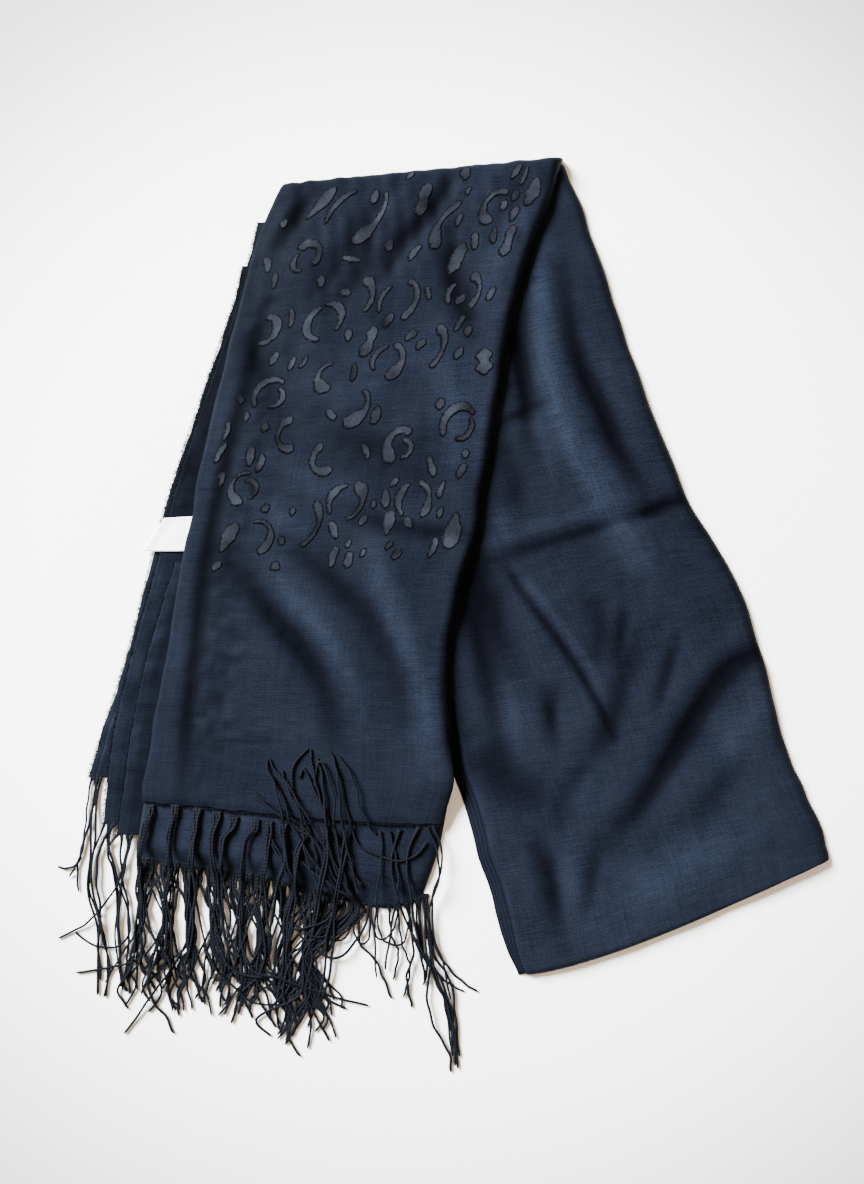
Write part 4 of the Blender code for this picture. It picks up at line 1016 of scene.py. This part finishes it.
def buildMarks():
    placed = arrangeMarks()
    points, faces, pile = [], [], []
    for number, mark in enumerate(placed):
        outline = printedOutline(number, mark)
        # painted shadow: the dark outline is widened down the left and lower side
        shadowSide = np.clip(0.5 + 0.6 * (inwardOf(outline) @ np.array([0.8, -0.6])), 0.0, 1.0)[:, None]
        rings = (
            # (inset, raised, pile)
            (-0.42 - 0.55 * shadowSide, -0.01, 0.0), (-0.05 - 0.10 * shadowSide, 0.08, 0.0),
            (0.16 + 0.12 * shadowSide, 0.32, 0.15), (0.50, marks["raise"], 0.75), (0.95, 0.32, 1.1),
        )
        start, size = len(points), len(outline)
        for inset, raised, amount in rings:
            ring = outline + inwardOf(outline) * inset
            points.extend(inFrame(*leftPoint(ring[:, 1], ring[:, 0], 0.0, raised)).tolist())
            pile.extend([amount] * size)
        faces += ringFaces(start, len(rings), size)
        # the middle is closed by triangles between the points of its innermost ring
        inner = start + (len(rings) - 1) * size
        edges = [(k, (k + 1) % size) for k in range(size)]
        made, _, cells, sources, _, _ = delaunay_2d_cdt([tuple(p) for p in ring], edges, [], 1, 1e-7)
        index = {}
        for k, source in enumerate(sources):
            if source:
                index[k] = inner + source[0]
            else:
                index[k] = len(points)
                points.append(inFrame(*leftPoint(made[k][1], made[k][0], 0.0, raised)).tolist())
                pile.append(1.0)
        faces += [tuple(index[k] for k in cell) for cell in cells]
    points = np.array(points)
    piece = newPiece("raisedMarks", points, faces, points[:, :2], "pile", 75.0)
    faceOut(piece)
    keepValues(piece, "pile", pile)
    print("raised marks:", len(placed))
    return enter(piece, "navy_cloth")


raisedMarks = buildMarks()

# the second layer and the hidden layers of the left strand
secondCloth = {"rowStep": 1.6, "columnStep": 1.8, "turns": 7, "thick": 0.7}
hidden = {"step": 5.0, "right": 176.0}


def secondBed(inside):
    # the second layer comes down onto the surface at its hem
    drop = smooth((inside - 1.0) / (layout["hemDrop"] - 1.0))
    return layout["gap"] + (layout["secondBed"] - layout["gap"]) * drop


def buildSecondLayer():
    down = inRows(evenSteps(layout["secondStart"], layout["secondEnd"], secondCloth["rowStep"]))
    across = acrossSteps(0.0, secondCloth)
    x, y = onStrip("second", down, across)
    inside = layout["secondEnd"] - down
    sag = 0.22 * ripples(x, y, 53, 16.0) + 0.3 * ripples(x, y, 59, 38.0)
    height = secondBed(inside) + layout["secondWall"] + sag * smooth(inside / 14.0)
    z = leftBase(x, y) + height * sideRounded(across)
    y = y + 0.5 * ripples(x, 0.0 * x, 29, 12.0) * smooth((11.0 - inside) / 10.0)
    # painted shading: lighter towards its left, with some random tone
    shade = 1.0 + 0.3 * smooth((-60.0 - x) / 60.0) + 0.12 * ripples(x, y, 97, 24.0)
    piece = laySheet("secondLayerEnd", (x, y, z), (across, down), "cloth", secondCloth["thick"], shade)
    return enter(piece, "navy_cloth", "second_layer_end")


def buildLeftLayers():
    down = inRows(evenSteps(5.0, 404.0, hidden["step"]))
    # above the end layers the solid reaches out under the turned side, so the top corner isn't hollow
    start = 2.5 + 10.5 * smooth((down - 11.0) / 11.0)
    across = start + (hidden["right"] - start) * np.linspace(0.0, 1.0, 38)
    x, y, z = leftPoint(down, across)
    base = leftBase(x, y)
    lower = 1.6 + 1.6 * nearHem(down) + 2.2 * (1 - smooth((across - 7.5) / 4.5))
    top = np.maximum(z - lower, base + 0.5)
    packLayers("leftFoldedLayers", "left_folded_layers", x, y, top, base, (across, down))


secondLayer = buildSecondLayer()
buildLeftLayers()
print("second layer and hidden layers made")

# layers of the two ends that stick out to the left, each with its visible side from top to foot
endLayers = {
    "endLayerOuter": {
        "node": "end_layer_outer", "bed": 0.15, "seed": 3, "cloth": "under", "shaded": 0.15,
        "flat": (0.03, 0.34),
        "side": (
            (-120, 208), (-126, 182), (-141, 134), (-161, 69), (-172, 25), (-186, -36), (-201, -88),
            (-208, -113),
        ),
    },
    "endLayerMiddle": {
        "node": "end_layer_middle", "bed": 1.4, "seed": 4, "cloth": "plain", "shaded": 0.35,
        "flat": (0.022, 0.39),
        "side": (
            (-110, 235), (-116, 212), (-123, 184), (-138, 134), (-158, 69), (-169, 20), (-183, -36),
            (-194, -91), (-198, -141),
        ),
    },
    "endLayerInner": {
        "node": "end_layer_inner", "bed": 2.7, "seed": 6, "cloth": "plain", "shaded": 0.5, "flat": (0.02, 0.17),
        "side": ((-158, 18), (-166, -10), (-174, -40), (-183, -91), (-189, -147)),
    },
}
endCloth = {"under": 11.0, "thick": 0.5}  # how far they go in under the top panel


def buildEndLayer(name, spec):
    side = smoothLine(spec["side"], 46 * (len(spec["side"]) - 1))
    level = 0.0 * side[:, 1]
    edge = 0.16 * ripples(side[:, 1], level, spec["seed"], 9.0)
    edge += 0.45 * ripples(side[:, 1], level, spec["seed"] + 20, 40.0)
    edgeX, y = inRows(side[:, 0] + edge), inRows(side[:, 1])
    share = np.array([0.0, 0.02, 0.06, 0.12, 0.2, 0.3, 0.42, 0.55, 0.7, 0.85, 1.0])
    leftSide = np.concatenate([strips["top"]["line"][:, :2], strips["second"]["line"][:, :2]])
    x = edgeX + (sideX(y, leftSide) + endCloth["under"] - edgeX) * share
    out = x - edgeX
    lap = 0.28 * ripples(x, y, spec["seed"] + 40, 13.0) * bell(out - 4, 9) + 0.16 * bell(out - 0.9, 0.8)
    z = leftBase(x, y) + spec["bed"] + 0.62 + np.maximum(lap, -0.1)
    z = np.where(share == 0.0, z - 0.2, z)
    # painted shade: darker up towards the top and further in under the top panel, with some random tone
    lit = (0.36 + 0.62 * smooth((75.0 - y) / 70.0)) * (1.0 - spec["shaded"] * smooth((out - 2.0) / 6.0))
    lit = lit * (1.0 + 0.25 * ripples(x, y, spec["seed"] + 60, 18.0))
    cut = (out, inRows(runOf(side)))
    piece = laySheet(name, (x, y, z), cut, spec["cloth"], endCloth["thick"], np.clip(lit, 0.15, 1.15))
    return enter(piece, "navy_cloth", spec["node"])


endPieces = {name: buildEndLayer(name, spec) for name, spec in endLayers.items()}
print("end layers made")

# the label, left bare
label = {
    "bed": 2.75, "thick": 0.35, "flat": (34.0, 22.0), "outerTop": (-165.5, 45.5), "outerBottom": (-178.0, 25.0),
    "innerTop": (-143.0, 47.0), "innerBottom": (-146.0, 25.0),
}


def buildLabel():
    v = np.linspace(0.0, 1.0, 25)[:, None, None]
    u = np.linspace(0.0, 1.0, 31)[None, :, None]
    outer = np.array(label["outerTop"]) * (1 - v) + np.array(label["outerBottom"]) * v
    inner = np.array(label["innerTop"]) * (1 - v) + np.array(label["innerBottom"]) * v
    plan = outer * (1 - u) + inner * u
    x, y = plan[..., 0], plan[..., 1]
    u, v = u[..., 0], v[..., 0]
    curl = 0.55 * bell(u, 0.16) - 0.9 * (1 - smooth(u / 0.5)) * v
    z = label["bed"] + 0.45 + curl + 0.12 * ripples(x, y, 91, 9.0)
    cut = (u * label["flat"][0], v * label["flat"][1])
    enter(laySheet("labelTab", (x, y, z), cut, "tape", label["thick"]), "label_satin", "label_tab")


buildLabel()
print("label made")

# the right strand; each layer edge down its left side is (out past the top layer, bed, seed), lowest first
rightEdges = {
    "start": 150.0, "step": 1.6, "under": 6.0, "thick": 0.42, "fold": 0.8,
    "layers": ((8.2, 0.15, 101), (6.2, 1.1, 102), (4.1, 2.2, 103), (1.9, 3.4, 104)),
}


def rightFoot(down):
    return rounded(layout["rightEnd"] - down, layout["footRadius"])


def rightPoint(down, across):
    down, across = np.broadcast_arrays(down, across)
    x, y = onStrip("right", down, across)
    return x, y, rightTop(x, y) * rightFoot(down) * sideRounded(across)


def rightPanelShade(x, y, across):
    # painted shade and highlight from the creases, lighter towards the foot
    shade = foldTone(rightFolds(x, y)) * (0.92 + 0.30 * smooth((40.0 - y) / 160.0))
    # painted shadow of the left strand on the cloth beside it, and a painted highlight next to it above the
    # crossing
    away = np.maximum(x - sideX(y, strips["top"]["line"][:, 2:]), 0.0)
    beside = smooth((60.0 - y) / 60.0) * smooth((y + 160.0) / 60.0)
    shade = shade * (1.0 - 0.16 * bell(away, 14.0) * beside)
    shade = shade * (1.0 + 0.55 * bell(away - 4.0, 7.0) * smooth((y - 60.0) / 60.0))
    # painted shade along the rounded right side
    return shade * (1.0 - 0.4 * bell(layout["width"] - across, 6.0))


def buildRightPanel():
    foot = (layout["rightEnd"], layout["footRadius"], rightCloth["rowStep"], rightCloth["footTurns"])
    down, across = inRows(rolledSteps(0.0, *foot)), acrossSteps(0.0, rightCloth)
    x, y, z = rightPoint(down, across)
    z = z - 0.35 * bell(across, 1.1) * np.minimum(z / 3.0, 1.0)
    shade = rightPanelShade(x, y, across)
    piece = laySheet("rightTopPanel", (x, y, z), (across, down), "cloth", rightCloth["thick"], shade)
    return enter(piece, "navy_cloth", "right_top_panel")


def buildRightLayers():
    down = inRows(evenSteps(0.0, 457.0, hidden["step"]))
    across = np.array(evenSteps(2.0, hidden["right"], hidden["step"]))
    x, y, z = rightPoint(down, across)
    top = np.maximum(z - 1.5, 0.4)
    packLayers("rightFoldedLayers", "right_folded_layers", x, y, top, 0.0 * z, (across, down))


def buildRightEdge(number, out, bed, seed):
    down = inRows(evenSteps(rightEdges["start"], layout["rightEnd"] - 2.0, rightEdges["step"]))
    share = np.array([0.0, 0.03, 0.1, 0.2, 0.35, 0.55, 0.8, 1.0])
    edge = out * (1.0 - 0.45 * smooth((down - 422.0) / 40.0))
    edge = edge + 0.1 * ripples(down, 0.0 * down, seed, 12.0) + 0.35 * ripples(down, 0.0 * down, seed + 9, 50.0)
    inside = share * (edge + rightEdges["under"])
    x, y = onStrip("right", down, inside - edge)
    z = (bed + 0.55 + 0.14 * bell(inside - 0.8, 0.7)) * rightFoot(down) + 0.05
    z = np.maximum(np.where(share == 0.0, z - 0.18, z), 0.45)
    # the edge layers carry painted shade: a darker copy of the cloth and an even shading value
    cloth = ("edges", rightEdges["thick"], rightEdges["fold"])
    enter(laySheet(f"rightLayerEdge{number}", (x, y, z), (inside, down), *cloth), "navy_cloth")


rightPanel = buildRightPanel()
buildRightLayers()
for edgeNumber, edge in enumerate(rightEdges["layers"]):
    buildRightEdge(edgeNumber + 1, *edge)
print("right strand made")

# the twisted fringe; each way is a strand's plan points from its root or loop to its tip
strand = {"radius": 0.72, "sides": 6, "ringStep": 1.6, "flare": 0.5, "flareLength": 4.0, "floor": 0.95}


def tubes(name, node, routes):
    # every strand of one hem as one mesh, flat and wide where it leaves the cloth
    points, faces, uv = [], [], []
    sides = strand["sides"]
    for number, route in enumerate(routes):
        gauge = strand["radius"] * (0.86 + 0.28 * ((number * 0.618) % 1.0))
        line = np.array(route, float)
        length = runOf(line)[-1]
        count = max(8, int(length / strand["ringStep"]))
        want = np.linspace(0.0, length, count)
        line = pointsAt(line, want)
        ahead = np.gradient(line, axis=0)
        ahead /= np.linalg.norm(ahead, axis=1)[:, None]
        across = np.array([ahead[0][1], -ahead[0][0], 0.0])
        start = len(points)
        for i in range(count):
            across = across - ahead[i] * (across @ ahead[i])
            across = across / np.linalg.norm(across)
            up = np.cross(across, ahead[i])
            root = bell(want[i], strand["flareLength"])
            tip = 0.55 if i == count - 1 else 1.0
            wide = (gauge + strand["flare"] * root) * tip
            thick = (gauge * (1 - 0.3 * root)) * tip
            for k in range(sides):
                turn = 2 * math.pi * k / sides
                points.append(line[i] + across * (wide * math.cos(turn)) + up * (thick * math.sin(turn)))
                uv.append((k / sides, want[i] * mm))
        faces += ringFaces(start, count, sides)
        faces.append(tuple(start + k for k in reversed(range(sides))))
        faces.append(tuple(start + (count - 1) * sides + k for k in range(sides)))
    piece = newPiece(name, inFrame(*np.array(points).T), faces, uv, "yarn", 80.0)
    faceOut(piece)
    return enter(piece, "fringe_yarn", node)


def overSecond(x, y):
    # over the second layer, then down past its hem onto the strands below
    inside = pastHem("second", x, y)
    onLayer = secondBed(inside + 7.0) + layout["secondWall"] + strand["radius"] + 0.25
    return np.where(inside > -60, onLayer, strand["floor"]) + leftBase(x, y)


def onFloor(x, y):
    return strand["floor"] + 0.0 * x


def overHems(x, y):
    # just over the layers of both hems
    onTop = smooth((pastHem("top", x, y) + 5.0) / 4.0)
    onSecond = smooth((pastHem("second", x, y) + 3.0) / 8.0)
    least = 0.7 + (layout["secondBed"] + layout["secondWall"] + 0.2) * onSecond
    return least + (layout["hemHeight"] + 0.85 - least) * onTop + leftBase(x, y)


def laidRoute(draw, knots, height, level, stray=0.0):
    # a strand through given points, level millimetres over what it lies on at its middle
    points = np.array(knots, float)
    points[1:] += [[draw.uniform(-stray, stray), draw.uniform(-stray, stray)] for _ in points[1:]]
    line = smoothLine(points, 14 * len(points))
    share = np.linspace(0.0, 1.0, len(line))
    wave = 0.28 * np.sin(share * draw.uniform(25, 40) + draw.uniform(0, 6))
    line = line + np.stack([wave, 0.5 * wave], axis=-1)
    z = height(*line.T) + level * np.sin(math.pi * np.clip(share * 1.08, 0, 1)) ** 1.3
    return np.column_stack([line, z])


topFringe = {
    "seed": 17, "gather": 0.9, "spread": 1.8, "places": (-1.0, 0.0, 1.0),
    "ways": (
        ((-169, -131), (-172, -143), (-175, -165)), ((-154, -131), (-157, -150), (-156, -166)),
        ((-141, -133), (-143, -150), (-144, -166)), ((-129, -135), (-132, -150), (-130, -168)),
        ((-119, -138), (-125, -150), (-126, -171)), ((-106, -140), (-111, -151), (-113, -173)),
        ((-98, -141), (-99, -160), (-101, -173)), ((-89, -142), (-87, -160), (-91, -174)),
        ((-76, -143), (-81, -160), (-82, -180)), ((-64, -144), (-63, -160), (-68, -186)),
        ((-51, -145), (-54, -166), (-58, -190)),
    ),
    "right": (
        ((-31, -144), (-30, -160), (-33, -183), (-34, -210), (-33, -231)),
        ((-19, -143), (-24, -160), (-21, -183), (-11, -206), (-5, -216), (5, -231), (11, -249), (12, -273)),
        ((0, -141), (6, -156), (5, -168), (1, -180), (0, -191), (2, -210), (7, -223), (11, -243)),
        ((-8, -142), (-15, -160), (-13, -180), (-10, -200), (-6, -220), (-4, -233)),
        ((-26, -144), (-22, -158), (-20, -176), (-24, -200), (-28, -226)),
        ((-3, -142), (3, -157), (4, -172), (-2, -195), (1, -222), (9, -250), (13, -268)),
    ),
}


def buildTopFringe():
    draw = random.Random(topFringe["seed"])
    routes = []
    gather = topFringe["gather"]
    for root, middleWay, end in topFringe["ways"]:
        pull = draw.uniform(-8, 8)
        for place in topFringe["places"]:
            knots = [
                (root[0] + place * topFringe["spread"], root[1] + 2.5), (root[0] + place * 1.4, root[1] - 4.0),
                (middleWay[0] + place * gather, middleWay[1]), (end[0] + place * gather, end[1]),
                (end[0] + place * 1.6 + 0.5 * pull + draw.uniform(-2, 2), end[1] - 20),
                (end[0] + place * 2.6 + pull + draw.uniform(-4, 4), end[1] - 40),
                (end[0] + place * 5 + 1.1 * pull + draw.uniform(-9, 9), end[1] - 56 - draw.uniform(0, 14)),
            ]
            routes.append(laidRoute(draw, knots, overSecond, draw.uniform(0.4, 2.6), 0.4))
    left = tubes("topHemFringeLeft", "fringe_top_hem_left", routes)
    routes = [laidRoute(draw, way, overSecond, draw.uniform(0.3, 1.8)) for way in topFringe["right"]]
    return [left, tubes("topHemFringeRight", "fringe_top_hem_right", routes)]


secondFringe = {
    "seed": 23, "count": 104, "last": 144.0, "clumps": (-174, -158, -144, -130, -114, -102, -87, -74),
    "left": (
        ((-172, -166), (-163, -183), (-160, -196), (-165, -210), (-175, -220), (-193, -225), (-212, -228)),
        (
            (-175, -166), (-177, -180), (-172, -196), (-163, -215), (-168, -230), (-166, -243), (-158, -253),
            (-153, -263),
        ),
        ((-170, -167), (-171, -186), (-167, -203), (-155, -223), (-163, -236), (-172, -249), (-182, -263)),
        ((-147, -171), (-137, -203), (-130, -223), (-120, -233), (-107, -244), (-89, -247), (-74, -249)),
        ((-127, -173), (-130, -195), (-125, -216), (-114, -228), (-92, -231), (-71, -239), (-51, -249)),
        ((-124, -173), (-115, -203), (-107, -225), (-89, -231), (-64, -240), (-38, -247)),
        ((-68, -192), (-69, -210), (-63, -218), (-54, -218), (-46, -210), (-39, -198), (-38, -194)),
        ((-64, -193), (-67, -206), (-63, -216), (-58, -206), (-52, -196)),
        ((-48, -194), (-46, -205), (-41, -211), (-37, -205), (-38, -196)),
        ((-95, -188), (-84, -200), (-71, -200), (-61, -196), (-50, -197)),
        ((-76, -190), (-79, -203), (-72, -209), (-66, -202), (-58, -195)),
        ((-58, -194), (-60, -204), (-55, -209), (-49, -203), (-46, -195)),
        ((-72, -190), (-66, -201), (-58, -205), (-50, -200), (-42, -197)),
        ((-90, -184), (-84, -196), (-76, -203), (-68, -207), (-60, -203), (-55, -196)),
    ),
    "right": (
        ((-33, -195), (-31, -205), (-25, -211), (-16, -209), (-13, -198)),
        ((-44, -195), (-43, -210), (-34, -220), (-29, -231), (-24, -243)),
        ((-21, -191), (-18, -210), (-13, -225), (-17, -242)),
        ((-15, -191), (-11, -215), (-15, -230), (-12, -248)),
        ((-16, -191), (-10, -210), (-3, -223), (-5, -235)), ((-10, -189), (-6, -216), (6, -231), (19, -239)),
        ((-4, -187), (1, -210), (9, -224), (18, -233), (27, -239)),
        ((-3, -187), (-4, -210), (1, -230), (9, -246), (14, -266), (15, -283)),
        ((-6, -188), (-1, -220), (-3, -240), (1, -258), (10, -274), (11, -285)),
        ((-4, -187), (1, -216), (11, -233), (14, -254), (16, -276)),
        ((-8, -189), (-5, -216), (5, -236), (9, -254), (12, -276)),
        ((-7, -188), (-7, -210), (2, -230), (11, -248), (13, -266), (14, -281)),
        ((-26, -194), (-24, -206), (-20, -216), (-23, -232)),
        ((-37, -195), (-34, -205), (-28, -208), (-22, -200), (-20, -193)),
    ),
}


def atHem(way):
    # moves an end that is close to the second hem onto it
    moved = [list(point) for point in way]
    for end in (moved[0], moved[-1]):
        past = float(pastHem("second", *end))
        if abs(past) < 16.0:
            end[1] += 2.0 - past
    return moved


def buildSecondFringe():
    draw = random.Random(secondFringe["seed"])
    routes = []
    first, last, count = 2.0, secondFringe["last"], secondFringe["count"]
    for number in range(count):
        across = first + (last - first) * (number + draw.uniform(-0.3, 0.3)) / (count - 1)
        x, y = (float(v) for v in onStrip("second", layout["secondEnd"], across))
        near = sorted(secondFringe["clumps"], key=lambda c: abs(c - x))
        clump = near[0] if draw.random() < 0.75 else near[1]
        tipX = clump + draw.gauss(0, 9)
        drop = draw.uniform(62, 88)
        knots = [
            (x, y + 2.0), (x + draw.uniform(-1.5, 1.5), y - 7),
            (x + 0.5 * (clump - x) + draw.uniform(-2, 2), y - 20),
            (clump + draw.uniform(-3, 3), y - 0.47 * drop),
            (clump + 0.3 * (tipX - clump) + draw.uniform(-5, 5), y - 0.7 * drop),
            (tipX + draw.uniform(-3, 3), y - 0.87 * drop), (tipX + draw.uniform(-6, 6), y - drop),
        ]
        routes.append(laidRoute(draw, knots, onFloor, draw.uniform(0.0, 3.2), 0.6))
    routes += [laidRoute(draw, atHem(way), onFloor, draw.uniform(1.0, 4.0)) for way in secondFringe["left"]]
    left = tubes("secondHemFringeLeft", "fringe_second_hem_left", routes)
    routes = [laidRoute(draw, atHem(way), onFloor, draw.uniform(0.2, 3.0)) for way in secondFringe["right"]]
    return [left, tubes("secondHemFringeRight", "fringe_second_hem_right", routes)]


endFringes = {
    "endOuterFringe": {
        "node": "fringe_end_outer", "height": 0.9,
        "ways": (
            ((-206, -112), (-208, -127), (-209, -143), (-211, -156), (-213, -166), (-212, -181)),
            ((-205, -112), (-203, -122), (-206, -137), (-209, -150), (-213, -164), (-220, -167), (-225, -166)),
            ((-211, -160), (-215, -168), (-218, -172)),
            (
                (-202, -112), (-205, -130), (-205, -148), (-205, -165), (-206, -180), (-202, -193),
                (-199, -210), (-199, -241),
            ),
            (
                (-200, -112), (-203, -130), (-202, -148), (-204, -165), (-202, -183), (-197, -200),
                (-196, -210), (-192, -223), (-195, -242),
            ),
        ),
    },
    "endMiddleFringe": {
        "node": "fringe_end_middle", "height": 2.0,
        "ways": (
            (
                (-197, -140), (-202, -153), (-205, -165), (-205, -180), (-200, -195), (-196, -206),
                (-193, -223), (-194, -242),
            ),
            ((-195, -140), (-195, -153), (-194, -161), (-190, -173), (-188, -195), (-186, -220), (-182, -239)),
            (
                (-193, -140), (-194, -154), (-189, -171), (-182, -191), (-180, -203), (-186, -212),
                (-196, -213), (-206, -210), (-213, -204),
            ),
            ((-191, -140), (-199, -154), (-201, -172), (-198, -192), (-199, -212), (-197, -232)),
        ),
    },
    "endInnerFringe": {
        "node": "fringe_end_inner", "height": 3.2,
        "ways": (
            ((-188, -146), (-194, -155), (-190, -170), (-188, -186), (-189, -210), (-185, -230), (-181, -239)),
            ((-186, -146), (-187, -156), (-186, -171), (-182, -188), (-181, -210), (-182, -223), (-184, -238)),
            ((-183, -146), (-183, -155), (-188, -175), (-196, -188), (-206, -199), (-213, -203), (-223, -208)),
            ((-180, -146), (-182, -155), (-185, -171), (-187, -191), (-186, -216), (-185, -236)),
        ),
    },
}


def buildEndFringe(name, spec):
    draw = random.Random(len(spec["ways"]))
    routes = []
    for number, way in enumerate(spec["ways"]):
        route = laidRoute(draw, way, onFloor, 0.4 + 0.6 * number)
        share = np.linspace(0.0, 1.0, len(route))
        route[:, 2] += (spec["height"] - strand["floor"]) * (1 - smooth(share / 0.3))
        routes.append(route)
    tubes(name, spec["node"], routes)


# strands of the second hem that are flipped up over both hems
flipped = {
    "seed": 61,
    "ways": (
        ((-54, -183), (-61, -171), (-67, -156), (-76, -143), (-92, -131), (-107, -121)),
        ((-51, -183), (-59, -170), (-68, -152), (-81, -142), (-99, -129), (-107, -123)),
        ((-46, -185), (-54, -171), (-64, -153), (-76, -133), (-86, -117), (-95, -107), (-98, -101)),
        ((-43, -176), (-48, -166), (-56, -150), (-64, -133), (-72, -117), (-77, -107), (-79, -113)),
        ((-68, -188), (-81, -175), (-87, -158), (-89, -137), (-94, -117), (-99, -107), (-98, -101)),
        ((-64, -190), (-76, -183), (-86, -170), (-92, -155), (-101, -142)),
        ((-74, -188), (-82, -180), (-89, -163), (-99, -148)),
        ((-64, -189), (-68, -171), (-71, -150), (-81, -127), (-84, -108), (-74, -95)),
        ((-58, -186), (-64, -163), (-63, -142), (-68, -122), (-72, -105), (-73, -95)),
        ((-49, -183), (-54, -163), (-58, -142), (-59, -122), (-67, -103), (-71, -119)),
        ((-44, -181), (-49, -160), (-54, -137), (-56, -117), (-58, -105), (-61, -97)),
        ((-39, -193), (-46, -185), (-54, -180), (-64, -173), (-74, -166), (-84, -156)),
        (
            (-3, -151), (-10, -159), (-21, -162), (-34, -158), (-45, -151), (-50, -135), (-54, -117),
            (-57, -107), (-61, -98),
        ),
        ((-34, -146), (-42, -132), (-46, -117), (-52, -105), (-59, -98)),
        ((-56, -187), (-62, -174), (-73, -158), (-84, -140), (-90, -122), (-97, -112)),
        ((-60, -188), (-70, -172), (-76, -155), (-78, -136), (-86, -120), (-90, -108)),
        ((-47, -184), (-57, -168), (-62, -150), (-64, -130), (-66, -112), (-69, -101)),
    ),
}


def buildFlipped():
    draw = random.Random(flipped["seed"])
    routes = [laidRoute(draw, way, overHems, draw.uniform(0.6, 3.4)) for way in flipped["ways"]]
    return tubes("flippedFringe", "fringe_flipped_up", routes)


hemFringes = buildTopFringe() + buildSecondFringe()
for fringeName, fringe in endFringes.items():
    buildEndFringe(fringeName, fringe)
flippedFringe = buildFlipped()
print("fringe made")

# loose fibres along the raw hems and selvedges
fibres = {"seed": 5, "radius": 0.11, "length": (0.9, 3.0)}


def buildFibres(name, line, perMm, outward):
    # short curled hairs, each a three-sided spike
    draw = random.Random(fibres["seed"] + len(name))
    run = runOf(line[:, :2])
    points, faces = [], []
    for _ in range(int(run[-1] * perMm)):
        at = draw.uniform(0, run[-1])
        base = np.array([np.interp(at, run, column) for column in line.T])
        turn = math.atan2(outward[1], outward[0]) + draw.gauss(0, 0.8)
        half = draw.uniform(*fibres["length"]) * 0.5
        bend = draw.gauss(0, 0.5)
        first = base + np.array([math.cos(turn), math.sin(turn), 0.0]) * half
        last = first + np.array([math.cos(turn + bend), math.sin(turn + bend), 0.0]) * half
        base[2] += draw.uniform(-0.2, 0.4)
        first[2] += draw.uniform(-0.1, 0.7)
        last[2] = max(0.1, last[2] + draw.uniform(-0.3, 0.5))
        start = len(points)
        sideways = np.array([-math.sin(turn), math.cos(turn), 0.0]) * fibres["radius"]
        up = np.array([0.0, 0.0, fibres["radius"] * 1.4])
        for spot in (base, first):
            points += [spot + sideways, spot - sideways, spot + up]
        points.append(last)
        faces += ringFaces(start, 2, 3)
        faces += [(start + 3 + k, start + 3 + (k + 1) % 3, start + 6) for k in range(3)]
        faces.append((start + 2, start + 1, start))
    points = np.array(points)
    enter(newPiece(name, inFrame(*points.T), faces, points[:, :2] * mm, "yarn"), "fringe_yarn")


def hemLine(strip, down):
    return onStrip(strip, down, np.linspace(1.0, 178.0, 90))


def buildAllFibres():
    x, y = hemLine("top", layout["topEnd"])
    buildFibres("topHemFibres", np.column_stack([x, y, leftBase(x, y) + 5.7]), 8.0, (0.0, -1.0))
    x, y = hemLine("second", layout["secondEnd"] - 0.4)
    buildFibres("secondHemFibres", np.column_stack([x, y, 0.9 + 0.0 * x]), 6.0, (0.0, -1.0))
    for name, spec in endLayers.items():
        x, y = smoothLine(spec["side"], 120).T
        line = np.column_stack([x, y, leftBase(x, y) + spec["bed"] + 0.4])
        buildFibres(name + "Fibres", line, 4.5, (-1.0, 0.1))


buildAllFibres()
print("fibres made")
